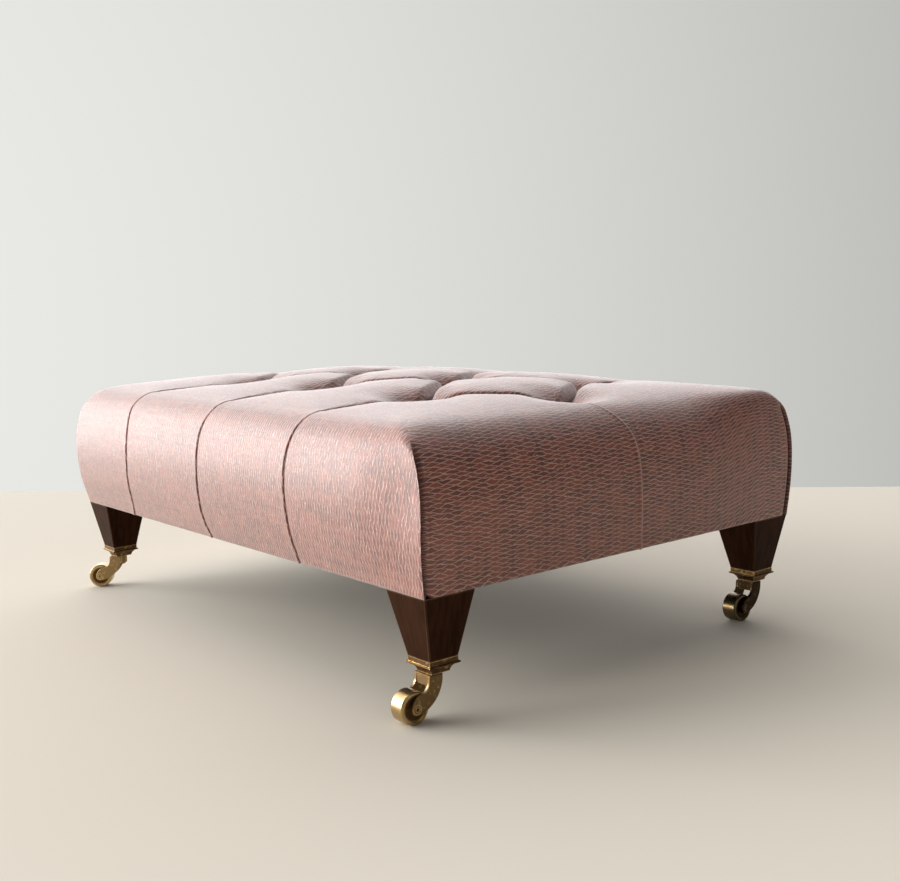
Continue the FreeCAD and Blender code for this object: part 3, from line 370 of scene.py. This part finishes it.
# How far the sides stand out at each height, and the same at the two corners that stand out less
LONG_SIDE = [(0, 0), (26, 7.3), (44, 10.2), (63, 11.8), (81, 11.4), (99, 8.6), (113, 3.8), (121, -1.5),
             (126.5, -7.5), (129.7, -14.0), (131, -21)]
SHORT_SIDE = [(0, 0), (26, 1.8), (44, 2.6), (63, 2.6), (81, 1.0), (99, -1.8), (113, -5.5), (121, -9.0),
              (126.5, -12.8), (129.7, -17.5), (131, -23)]
FRONT_RIGHT = [(0, 0.6), (22, 3.0), (45, 3.9), (75, 2.2), (99, 0.6), (113, -1.5), (121, -5.0), (126.5, -9.5),
               (129.7, -15.0), (131, -21)]
BACK_RIGHT = [(0, 1.0), (32, 5.3), (60, 7.6), (75, 8.0), (88, 7.0), (103, 3.4), (113, -0.4), (121, -4.2),
              (126.5, -8.5), (129.7, -13.5), (131, -20)]
# The right-hand side turns over more gently, but not at its back corner
RIGHT_SIDE = [(0, 0), (26, 1.8), (44, 2.6), (63, 2.6), (81, 0.8), (97, -3.0), (108, -7.8), (117, -14.5),
              (124, -22.5), (128.8, -31.5), (131, -41)]
RIGHT_CORNER = [(0, 0), (26, 1.8), (44, 2.6), (63, 2.6), (81, 1.8), (99, 0.4), (113, -1.0), (121, -2.8),
                (126.5, -5.4), (129.7, -9.0), (131, -14)]
# Heights of the grid rows over the roll from the side to the top
ROLL = (117.0, 120.8, 124.0, 126.7, 128.8, 130.2, 131.0)
ROLL_START = 113.0
BUTTON_LEVEL = 118.5
SEAM_TOP = 114.0
# The cover's edge is turned in under the seat
TURN_IN = 15.0
# How far each corner of the hand-stuffed top stands above the plain form
LIFT = {(-1, -1): 7.0, (1, -1): 0.0, (-1, 1): 3.0, (1, 1): -5.0}
# Pleats down the long sides and the short ones: height and place along the side
LONG_PLEATS = [
    [(0, -198), (10, -193), (26, -190), (45, -189), (60, -186), (94, -184), (116, -186), (131, -180)],
    [(0, -12), (14, -18), (44, -18), (70, -16), (100, -14), (116, -10), (131, -3)],
    [(0, 152), (26, 150), (80, 150), (98, 152), (115, 156), (131, 162)],
]
SHORT_PLEAT = [(0, 13), (43, 13), (69, 13), (96, 12.5), (114, 6), (131, -6)]
# Half the length and width of the top where it meets the sides
TOP_X = HALF_X + SHORT_SIDE[-1][1]
TOP_Y = HALF_Y + LONG_SIDE[-1][1]


def along_curve(points, at):
    """A smooth curve through points of rising first value."""
    last = len(points) - 1
    index = 0
    while index < last - 1 and at > points[index + 1][0]:
        index += 1
    x0, y0 = points[index]
    x1, y1 = points[index + 1]

    def slope(n):
        a = points[max(n - 1, 0)]
        b = points[min(n + 1, last)]
        return (b[1] - a[1]) / (b[0] - a[0])

    span = x1 - x0
    t = min(max((at - x0) / span, 0.0), 1.0)
    m0, m1 = slope(index) * span, slope(index + 1) * span
    return ((2 * t ** 3 - 3 * t ** 2 + 1) * y0 + (t ** 3 - 2 * t ** 2 + t) * m0
            + (3 * t ** 2 - 2 * t ** 3) * y1 + (t ** 3 - t ** 2) * m1)


def on_ring(a, b, half_x, half_y, radius):
    """The place on a rounded rectangle for a point of the square ring a, b."""
    x, y = a * half_x, b * half_y
    core_x = max(-half_x + radius, min(half_x - radius, x))
    core_y = max(-half_y + radius, min(half_y - radius, y))
    off = Vector((x - core_x, y - core_y))
    if off.length > 1e-9:
        off = off.normalized() * radius
    return core_x + off.x, core_y + off.y


def smooth(value, low, high):
    t = max(0.0, min(1.0, (value - low) / (high - low)))
    return t * t * (3 - 2 * t)


ROWS = []
for row, count in ((-1, 3), (0, 4), (1, 3)):
    ROWS.append([Vector((SHIFT + (n - (count - 1) / 2) * BUTTON_PITCH, row * ROW_PITCH)) for n in range(count)])
BUTTONS = [place for row in ROWS for place in row]
FURROWS = []
for outer in (ROWS[0], ROWS[2]):
    for n, place in enumerate(outer):
        FURROWS.append((place, ROWS[1][n]))
        FURROWS.append((place, ROWS[1][n + 1]))


def corner_lift(x, y):
    """The hand-stuffed unevenness of the top at a plan place."""
    u, v = (x / HALF_X + 1) / 2, (y / HALF_Y + 1) / 2
    low = LIFT[(-1, -1)] * (1 - u) + LIFT[(1, -1)] * u
    high = LIFT[(-1, 1)] * (1 - u) + LIFT[(1, 1)] * u
    return low * (1 - v) + high * v


# How far the lines next to a pleat's own line lie from it
CROWDED = (0.0, 0.9, 2.2, 4.4, 8.0, 12.5)


class Lines:
    """Grid lines in one direction: some follow pleats, and they crowd together beside those."""

    def __init__(self, count, anchors):
        self.stops = [0] + [round(count * share) for share in anchors] + [count]

    def place(self, index, marks, crowd=1.0):
        """Where line number index lies between marks, the places of the ends and of the anchors."""
        for part, (start, end) in enumerate(zip(self.stops, self.stops[1:])):
            if start <= index <= end:
                break
        span = marks[part + 1] - marks[part]
        cells = end - start
        n = index - start
        even = span * n / cells
        near = min(n, cells - n)
        last = len(CROWDED) - 1
        reach = even if n <= cells - n else span - even
        if near <= last:
            squeezed = CROWDED[near]
        else:
            wide = (span - 2 * CROWDED[last]) / (cells - 2 * last)
            squeezed = CROWDED[last] + (near - last) * wide
        reach = reach * (1 - crowd) + squeezed * crowd
        return marks[part] + (reach if n <= cells - n else span - reach)


COLUMNS = Lines(ACROSS, [0.20, 0.47, 0.73])
FILES = Lines(ALONG, [0.52])


def column_marks(height, half_x):
    middles = [along_curve(pleat, height) for pleat in LONG_PLEATS]
    return [-half_x] + middles + [half_x]


def file_marks(height, half_y):
    return [-half_y, along_curve(SHORT_PLEAT, height), half_y]


def row_height(k):
    """Height of a grid row: even up the side, then closer over the roll."""
    flat_rows = UPWARD - len(ROLL)
    return ROLL_START * k / flat_rows if k <= flat_rows else ROLL[k - flat_rows - 1]


def right_scale(x, y, height):
    """How much further out or in the right-hand side lies than the left-hand one."""
    plain_side = HALF_X + along_curve(SHORT_SIDE, height)
    middle = HALF_X + along_curve(RIGHT_SIDE, height)
    corner = HALF_X + along_curve(RIGHT_CORNER, height)
    share = smooth(HALF_Y - y, 25, 130)
    return 1 + ((corner + (middle - corner) * share) / plain_side - 1) * smooth(x, 150, 300)


def side_place(i, j, height):
    half_x = HALF_X + along_curve(SHORT_SIDE, height)
    half_y = HALF_Y + along_curve(LONG_SIDE, height)
    a = COLUMNS.place(i, column_marks(height, half_x)) / half_x
    b = FILES.place(j, file_marks(height, half_y)) / half_y
    radius = 2.4 + 13.0 * smooth(height, 108, EDGE)
    x, y = on_ring(a, b, half_x, half_y, radius)
    x *= right_scale(x, y, height)
    corner = HALF_Y + along_curve(FRONT_RIGHT if y < 0 else BACK_RIGHT, height)
    y *= 1 + (corner / half_y - 1) * (1 - smooth(HALF_X - x, 0, 80))
    stretch = 1 + corner_lift(x, y) * (height / EDGE) ** 2 / EDGE
    return Vector((x, y, height * stretch))


def top_place(i, j):
    """A point of the top: grid lines run from pleat to button to button to pleat."""
    half_x, half_y = TOP_X, TOP_Y
    y = FILES.place(j, file_marks(EDGE, half_y))
    x = COLUMNS.place(i, column_marks(EDGE, half_x))
    for _ in range(3):
        across = smooth(half_y - abs(y), 0, half_y - ROW_PITCH)
        marks = [-half_x]
        for pleat, button in zip(LONG_PLEATS, ROWS[0]):
            marks.append(pleat[-1][1] * (1 - across) + button.x * across)
        marks.append(half_x)
        crowd = 1.0 - 0.75 * smooth(half_y - abs(y), 60, 130)
        x = COLUMNS.place(i, marks, crowd)
        end = ROWS[1][-1].x if x > 0 else ROWS[1][0].x
        inward = smooth(half_x - abs(x), 0, half_x - abs(end))
        marks = [-half_y, SHORT_PLEAT[-1][1] * (1 - inward), half_y]
        crowd = 1.0 - 0.75 * smooth(half_x - abs(x), 60, 130)
        y = FILES.place(j, marks, crowd)
    share = max(abs(x) / half_x, abs(y) / half_y, 1e-6)
    x, y = on_ring(x / half_x / share, y / half_y / share, half_x * share, half_y * share, 14.0 * share)
    rise = ((1 - abs(x / half_x) ** 2.4) * (1 - abs(y / half_y) ** 1.7))
    x *= right_scale(x, y, EDGE)
    return Vector((x, y, EDGE + CROWN * max(0.0, rise) ** 0.9 + corner_lift(x, y)))


def nearest_on_line(place, start, end):
    """Distance to a straight stretch and how far along it."""
    run = end - start
    share = max(0.0, min(1.0, (place - start).dot(run) / run.length_squared))
    return (place - (start + run * share)).length, share


def edge_pleats():
    """For each pleat, its button and the plan place where it crosses the top's edge."""
    pairs = []
    for side, row in ((-1, ROWS[0]), (1, ROWS[2])):
        for place, pleat in zip(row, LONG_PLEATS):
            pairs.append((place, Vector((pleat[-1][1], side * TOP_Y))))
    for side, place in ((-1, ROWS[1][0]), (1, ROWS[1][-1])):
        pairs.append((place, Vector((side * TOP_X, SHORT_PLEAT[-1][1]))))
    return pairs


EDGE_PLEATS = edge_pleats()


def tufted(place):
    """A point of the plain top drawn down towards the buttons and along the folds between them."""
    flat = Vector((place.x, place.y))
    near = min((flat - button).length for button in BUTTONS)
    pull = 1 - max(0.0, min(1.0, (near - 9.8) / 44.0))
    level = place.z + (BUTTON_LEVEL - place.z) * pull ** 2.7
    crease = 0.0
    for start, end in FURROWS:
        off, share = nearest_on_line(flat, start, end)
        depth = 6.0 + 8.0 * (2 * share - 1) ** 2
        crease = max(crease, depth * math.exp(-off / 6.0))
    for start, end in EDGE_PLEATS:
        off, share = nearest_on_line(flat, start, end)
        depth = 10.0 * (1 - share) ** 1.5 + 0.6
        crease = max(crease, depth * math.exp(-off / (7.0 - 3.0 * share)))
    return max(BUTTON_LEVEL, level - crease * (1 - 0.75 * pull))


# The seam beside each corner is a groove: its height and its shade, by grid lines from the corner
SEAM = {0: 0.8, 1: 0.7, 2: -5.4, 3: -2.4, 4: 0.3}
SEAM_SHADE = {0: 0.0, 1: 0.3, 2: 1.0, 3: 0.4, 4: 0.0}
# Narrow creases pressed in after the swelling: depth and width between buttons, and towards the edges
CREASE, CREASE_WIDE = 13.0, 3.6
EDGE_CREASE, EDGE_CREASE_WIDE = 8.0, 3.0
# Nearer to a button than this, no crease is pressed in
BUTTON_ROOM = 13
# Height of a fold's surface at each grid line beside it, from the covering side to the covered one
LAP = {-4: 0.1, -3: 0.3, -2: 0.6, -1: 0.8, 0: -1.2, 1: -0.5, 2: -0.2}
# LAP_SHADE and RIDGE_SHADE are painted into the cloth's colour: painted shade, and a painted highlight where
# negative.
LAP_SHADE = {0: 0.6}
RIDGE = {-3: 0.1, -2: 0.3, -1: 0.7, 0: 1.3, 1: 0.4, 2: -0.1}
RIDGE_SHADE = {-1: -0.15, 0: -0.6, 1: 0.0, 2: 0.2}


def beside(profile, lines, index):
    """A fold profile's value at a grid line beside the anchored ones."""
    total = 0.0
    for stop in lines.stops[1:-1]:
        total += profile.get(index - stop, 0.0)
    return total


mesh = bmesh.new()
cloth_layer = mesh.loops.layers.float_vector.new("cloth")
points = {}
plain = {}


def turned_in(value, half):
    """A place on the lower edge moved inwards to where the cover's edge ends."""
    if abs(value) <= half - TURN_IN:
        return value
    return value - math.copysign(min(TURN_IN, abs(value)), value)


def point(i, j, k):
    """The mesh point of a grid place, made when it is first asked for."""
    key = (i, j, k)
    if key not in points:
        if k == UPWARD and 0 < i < ACROSS and 0 < j < ALONG:
            place = top_place(i, j)
            plain[key] = (place.x, place.y, EDGE)
            place.z = tufted(place)
        elif k < 0:
            place = side_place(i, j, 0.0)
            plain[key] = (place.x, place.y, -TURN_IN)
            place.x = turned_in(place.x, HALF_X)
            place.y = turned_in(place.y, HALF_Y)
            place.z = 0.3
        else:
            height = row_height(k)
            place = side_place(i, j, height)
            plain[key] = (place.x, place.y, height)
        vert = mesh.verts.new(place)
        points[key] = vert
    return points[key]


def down_from_edge(profile):
    """The cloth's own length from the top's edge down to each height of a side."""
    lengths = [(EDGE, 0.0)]
    for (low, low_out), (high, high_out) in zip(profile[-2::-1], profile[:0:-1]):
        lengths.append((low, lengths[-1][1] + math.hypot(high - low, low_out - high_out)))
    return lengths[::-1]


DOWN_LONG = down_from_edge(LONG_SIDE)
DOWN_LEFT = down_from_edge(SHORT_SIDE)
DOWN_RIGHT = down_from_edge(RIGHT_SIDE)
# About the cloth's length from the top's edge to the lower edge, where the turned-in part starts
SIDE_CLOTH = 150.0


def quad(face_side, *keys):
    """A face of the cushion, with the place of its corners on the flat cloth."""
    face = mesh.faces.new([point(*key) for key in keys])
    for loop, key in zip(face.loops, keys):
        x, y, height = plain[key]
        if face_side == "x":
            profile = DOWN_RIGHT if x > 0 else DOWN_LEFT
            down = along_curve(profile, height) if height > 0 else SIDE_CLOTH - height
            edge = TOP_X * right_scale(TOP_X, y, EDGE) if x > 0 else TOP_X
            x = math.copysign(edge + down, x)
        elif face_side == "y":
            down = along_curve(DOWN_LONG, height) if height > 0 else SIDE_CLOTH - height
            y = math.copysign(TOP_Y + down, y)
        loop[cloth_layer] = (x * 0.001, y * 0.001, 0)


for i in range(ACROSS):
    for j in range(ALONG):
        quad("top", (i, j, UPWARD), (i + 1, j, UPWARD), (i + 1, j + 1, UPWARD), (i, j + 1, UPWARD))
for k in range(-1, UPWARD):
    for i in range(ACROSS):
        quad("y", (i, 0, k), (i + 1, 0, k), (i + 1, 0, k + 1), (i, 0, k + 1))
        quad("y", (i, ALONG, k + 1), (i + 1, ALONG, k + 1), (i + 1, ALONG, k), (i, ALONG, k))
    for j in range(ALONG):
        quad("x", (ACROSS, j, k), (ACROSS, j + 1, k), (ACROSS, j + 1, k + 1), (ACROSS, j, k + 1))
        quad("x", (0, j, k + 1), (0, j + 1, k + 1), (0, j + 1, k), (0, j, k))

for vert in mesh.verts:
    vert.co = Vector((vert.co.x, vert.co.y, vert.co.z + SEAT_LOW)) * 0.001
mesh.verts.index_update()
sharp = mesh.edges.layers.float.new("crease_edge")
rim = {vert for (i, j, k), vert in points.items() if k == 0}
for edge in mesh.edges:
    if edge.verts[0] in rim and edge.verts[1] in rim:
        edge[sharp] = 1.0
held = {}
folds = {}
shades = {}
for (i, j, k), vert in points.items():
    x, y, height = plain[(i, j, k)]
    on_top = k == UPWARD and 0 < i < ACROSS and 0 < j < ALONG
    near = min((Vector((x, y)) - button).length for button in BUTTONS)
    if on_top and near < 11:
        held[vert.index] = 1.0
    elif on_top:
        off = min(nearest_on_line(Vector((x, y)), *run)[0] for run in FURROWS + EDGE_PLEATS)
        held[vert.index] = 0.9 * (1 - smooth(off, 1, 6))
    else:
        held[vert.index] = 1.0 - 0.8 * smooth(height, 90, EDGE)
    # Folds: down the long sides the cover laps from the left, on the short ones a ridge stands up
    on_long = not on_top and j in (0, ALONG)
    on_short = not on_top and i in (0, ACROSS)
    row = 1 - smooth(ROW_PITCH - abs(y), 0, 12)
    end = 1 - smooth(abs(ROWS[1][0].x) + SHIFT - abs(x - SHIFT), 0, 12)
    fade = 0.0 if k < 0 else 1.0 - 0.5 * smooth(height, 104, EDGE)
    if on_top:
        fade *= 1 - 0.7 * smooth(min(TOP_X - abs(x), TOP_Y - abs(y)), 0, 45)
    tall = 0.0
    # shade is painted into the cloth's colour: painted shade in folds and seams, and a painted highlight where
    # it is negative.
    shade = 0.0
    if on_long or on_top:
        tall += beside(LAP, COLUMNS, i) * row * fade
        faint = 0.4 if i < (COLUMNS.stops[1] + COLUMNS.stops[2]) / 2 else 1.0
        shade += beside(LAP_SHADE, COLUMNS, i) * row * faint * max(0.0, fade * 1.6 - 0.6)
    if on_short or on_top:
        tall += beside(RIDGE, FILES, j) * end * fade
        shade += beside(RIDGE_SHADE, FILES, j) * end * fade
    from_corner = min(j, ALONG - j)
    if on_short and from_corner in SEAM and k >= 0:
        below = 1 - smooth(height, SEAM_TOP - 5, SEAM_TOP + 2)
        tall += SEAM[from_corner] * below
        shade += SEAM_SHADE[from_corner] * below
    if on_top and near > BUTTON_ROOM:
        flat = Vector((x, y))
        clear = smooth(near, BUTTON_ROOM, 22)
        off = min(nearest_on_line(flat, *run)[0] for run in FURROWS)
        tall -= CREASE * math.exp(-(off / CREASE_WIDE) ** 2) * clear
        off, share = min(nearest_on_line(flat, *run) for run in EDGE_PLEATS)
        tall -= EDGE_CREASE * (1 - share) * math.exp(-(off / EDGE_CREASE_WIDE) ** 2) * clear
    folds[vert.index] = tall * 0.001
    shades[vert.index] = shade
cushion_data = bpy.data.meshes.new("cushion")
mesh.to_mesh(cushion_data)
mesh.free()
# The crease attribute carries the painted shade and painted highlight to the cloth material.
painted_shade_layer = cushion_data.attributes.new("crease", "FLOAT", "POINT")
painted_shade_layer.data.foreach_set("value", [shades[index] for index in range(len(shades))])
cushion = bpy.data.objects.new("cushion", cushion_data)
bpy.context.scene.collection.objects.link(cushion)


SWELL_FRAMES = 20


def swell(thing, weights, pressure, most):
    """Inflates a padded piece as cloth, held by its weights, and keeps at most so much of the change."""
    group = thing.vertex_groups.new(name="held")
    for index, weight in weights.items():
        if weight > 0:
            group.add([index], weight, "REPLACE")
    cloth = thing.modifiers.new("swell", "CLOTH")
    cloth.settings.quality = 5
    cloth.settings.mass = 0.01
    cloth.settings.tension_stiffness = 8
    cloth.settings.compression_stiffness = 8
    cloth.settings.shear_stiffness = 3
    cloth.settings.bending_stiffness = 0.2
    cloth.settings.use_pressure = True
    cloth.settings.uniform_pressure_force = pressure
    cloth.settings.effector_weights.gravity = 0
    cloth.settings.vertex_group_mass = "held"
    cloth.collision_settings.use_collision = False
    cloth.point_cache.frame_start = 1
    cloth.point_cache.frame_end = SWELL_FRAMES
    for number in range(1, SWELL_FRAMES + 1):
        bpy.context.scene.frame_set(number)
    after = thing.evaluated_get(bpy.context.evaluated_depsgraph_get()).to_mesh()
    moved = np.empty(len(after.vertices) * 3)
    after.vertices.foreach_get("co", moved)
    before = np.empty(len(moved))
    thing.data.vertices.foreach_get("co", before)
    change = (moved - before).reshape(-1, 3)
    length = np.linalg.norm(change, axis=1)
    print("cloth moved mean %.1f mm, most %.1f mm" % (length.mean() * 1000, length.max() * 1000))
    change *= np.minimum(1.0, most / np.maximum(length, 1e-9))[:, None]
    thing.modifiers.remove(cloth)
    thing.vertex_groups.remove(group)
    thing.data.vertices.foreach_set("co", (before.reshape(-1, 3) + change).ravel())
    bpy.context.scene.frame_set(1)


swell(cushion, held, 4.0, 0.014)

# The folds go in after the swelling, along each point's own normal
cushion_data.update()
count = len(cushion_data.vertices)
places = np.empty(count * 3)
cushion_data.vertices.foreach_get("co", places)
normals = np.empty(count * 3)
cushion_data.vertex_normals.foreach_get("vector", normals)
heights = np.array([folds[index] for index in range(count)])
places = places.reshape(-1, 3) + normals.reshape(-1, 3) * heights[:, None]
cushion_data.vertices.foreach_set("co", places.ravel())
finer = cushion.modifiers.new("finer", "SUBSURF")
finer.levels = 1
finer.render_levels = 1
smooth_data = bpy.data.meshes.new_from_object(cushion.evaluated_get(bpy.context.evaluated_depsgraph_get()))
cushion.modifiers.clear()
cushion.data = smooth_data
cushion_data = smooth_data
closing = bmesh.new()
closing.from_mesh(cushion_data)
bmesh.ops.holes_fill(closing, edges=[edge for edge in closing.edges if edge.is_boundary], sides=0)
closing.to_mesh(cushion_data)
closing.free()
for face in cushion_data.polygons:
    face.use_smooth = True
cushion_data.materials.clear()
cushion_data.materials.append(CLOTH)
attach(cushion, "stool")
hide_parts("cover", "stuffing", "side_wadding")

# Covered buttons: radius and height of the rings of a cap
CAP = [(9.3, 0.0), (9.5, 1.0), (9.1, 2.6), (7.8, 4.3), (5.6, 5.5), (3.0, 6.1)]
STEPS = 32
cap_points = []
cap_faces = []
cap_cloth = []
for button in BUTTONS:
    first = len(cap_points)
    for radius, height in CAP:
        for step in range(STEPS):
            angle = math.tau * step / STEPS
            x, y = button.x + radius * math.cos(angle), button.y + radius * math.sin(angle)
            cap_points.append((x * 0.001, y * 0.001, (SEAT_LOW + BUTTON_LEVEL + height) * 0.001))
            cap_cloth.append((x * 0.001, y * 0.001, 0))
    for ring in range(len(CAP) - 1):
        for step in range(STEPS):
            a = first + ring * STEPS + step
            b = first + ring * STEPS + (step + 1) % STEPS
            cap_faces.append((a, b, b + STEPS, a + STEPS))
    last = first + (len(CAP) - 1) * STEPS
    cap_faces.append(tuple(range(last, last + STEPS)))
    cap_faces.append(tuple(range(first + STEPS - 1, first - 1, -1)))
cap_data = bpy.data.meshes.new("button_caps")
cap_data.from_pydata(cap_points, [], cap_faces)
layer = cap_data.attributes.new("cloth", "FLOAT_VECTOR", "POINT")
layer.data.foreach_set("vector", [part for place in cap_cloth for part in place])
for face in cap_data.polygons:
    face.use_smooth = True
cap_data.materials.append(CLOTH)
caps = bpy.data.objects.new("button_caps", cap_data)
bpy.context.scene.collection.objects.link(caps)
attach(caps, "stool")
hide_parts("cover_buttons")


# Floor, light and camera

# The floor ends where the photo's wall starts
FLOOR = [(-1.925, -0.706, 0), (0.735, -3.0, 0), (4.4, -1.2, 0), (3.0, 3.58, 0)]
floor_data = bpy.data.meshes.new("floor")
floor_data.from_pydata(FLOOR, [], [(0, 1, 2, 3)])
floor = bpy.data.objects.new("floor", floor_data)
bpy.context.scene.collection.objects.link(floor)
ground = Shader("pale_floor")
ground.put("Base Color", (0.72, 0.66, 0.56))
ground.put("Roughness", 0.85)
floor_data.materials.append(ground.material)

world = bpy.data.worlds.new("studio")
bpy.context.scene.world = world
world.use_nodes = True
sky = world.node_tree.nodes
links = world.node_tree.links
rays = sky.new("ShaderNodeLightPath")
parts = sky.new("ShaderNodeSeparateXYZ")
links.new(sky.new("ShaderNodeTexCoord").outputs["Generated"], parts.inputs[0])


def room(left, right, tint):
    """A pale room whose strength goes from left to right, for one kind of ray."""
    shown = sky.new("ShaderNodeBackground")
    shown.inputs[0].default_value = tint
    slope = sky.new("ShaderNodeMapRange")
    links.new(parts.outputs[0], slope.inputs[0])
    for socket, number in zip(slope.inputs[1:5], (-1.0, 0.3, left, right)):
        socket.default_value = number
    links.new(slope.outputs[0], shown.inputs[1])
    return shown


either = sky.new("ShaderNodeMixShader")
links.new(rays.outputs["Is Camera Ray"], either.inputs[0])
# The first room lights the stool, and the second is the wall that the camera sees, painted lighter on the left
# and darker on the right: painted light from the window side.
links.new(room(2.6, 0.01, (1.0, 1.0, 1.0, 1)).outputs[0], either.inputs[1])
links.new(room(0.84, 0.03, (1.0, 1.005, 0.965, 1)).outputs[0], either.inputs[2])
links.new(either.outputs[0], sky["World Output"].inputs[0])


def soft_box(name, place, aim, across, power):
    """A square area lamp that faces the aim."""
    data = bpy.data.lights.new(name, "AREA")
    data.shape = "SQUARE"
    data.size = across
    data.energy = power
    lamp = bpy.data.objects.new(name, data)
    lamp.location = place
    lamp.rotation_mode = "QUATERNION"
    lamp.rotation_quaternion = (Vector(aim) - Vector(place)).to_track_quat("-Z", "Y")
    bpy.context.scene.collection.objects.link(lamp)


soft_box("window", (-7.0, -7.0, 1.64), (0, 0, 0.15), 8.05, 1440)
soft_box("fill", (3.0, -0.6, 1.6), (0, 0, 0.15), 2.0, 11)

# The camera as it was fitted to the photo, radians and metres
YAW, PITCH, TILT = -0.9110, 0.0689, -0.0379
STAND = Vector((1.0060, -0.7393, 0.3234))
ahead = Vector((math.sin(YAW) * math.cos(PITCH), math.cos(YAW) * math.cos(PITCH), -math.sin(PITCH)))
level = Vector((math.cos(YAW), -math.sin(YAW), 0))
upright = level.cross(ahead)
right = level * math.cos(TILT) + upright * math.sin(TILT)
up = upright * math.cos(TILT) - level * math.sin(TILT)
camera_data = bpy.data.cameras.new("camera")
camera_data.sensor_width = 36
camera_data.lens = 45.845
camera_data.shift_x = 0.02259
camera_data.shift_y = -0.06361
camera_data.clip_start = 0.02
camera = bpy.data.objects.new("camera", camera_data)
camera.matrix_world = Matrix((
    (right.x, up.x, -ahead.x, STAND.x),
    (right.y, up.y, -ahead.y, STAND.y),
    (right.z, up.z, -ahead.z, STAND.z),
    (0, 0, 0, 1),
))
bpy.context.scene.collection.objects.link(camera)
bpy.context.scene.camera = camera
bpy.context.scene.view_settings.view_transform = "Standard"
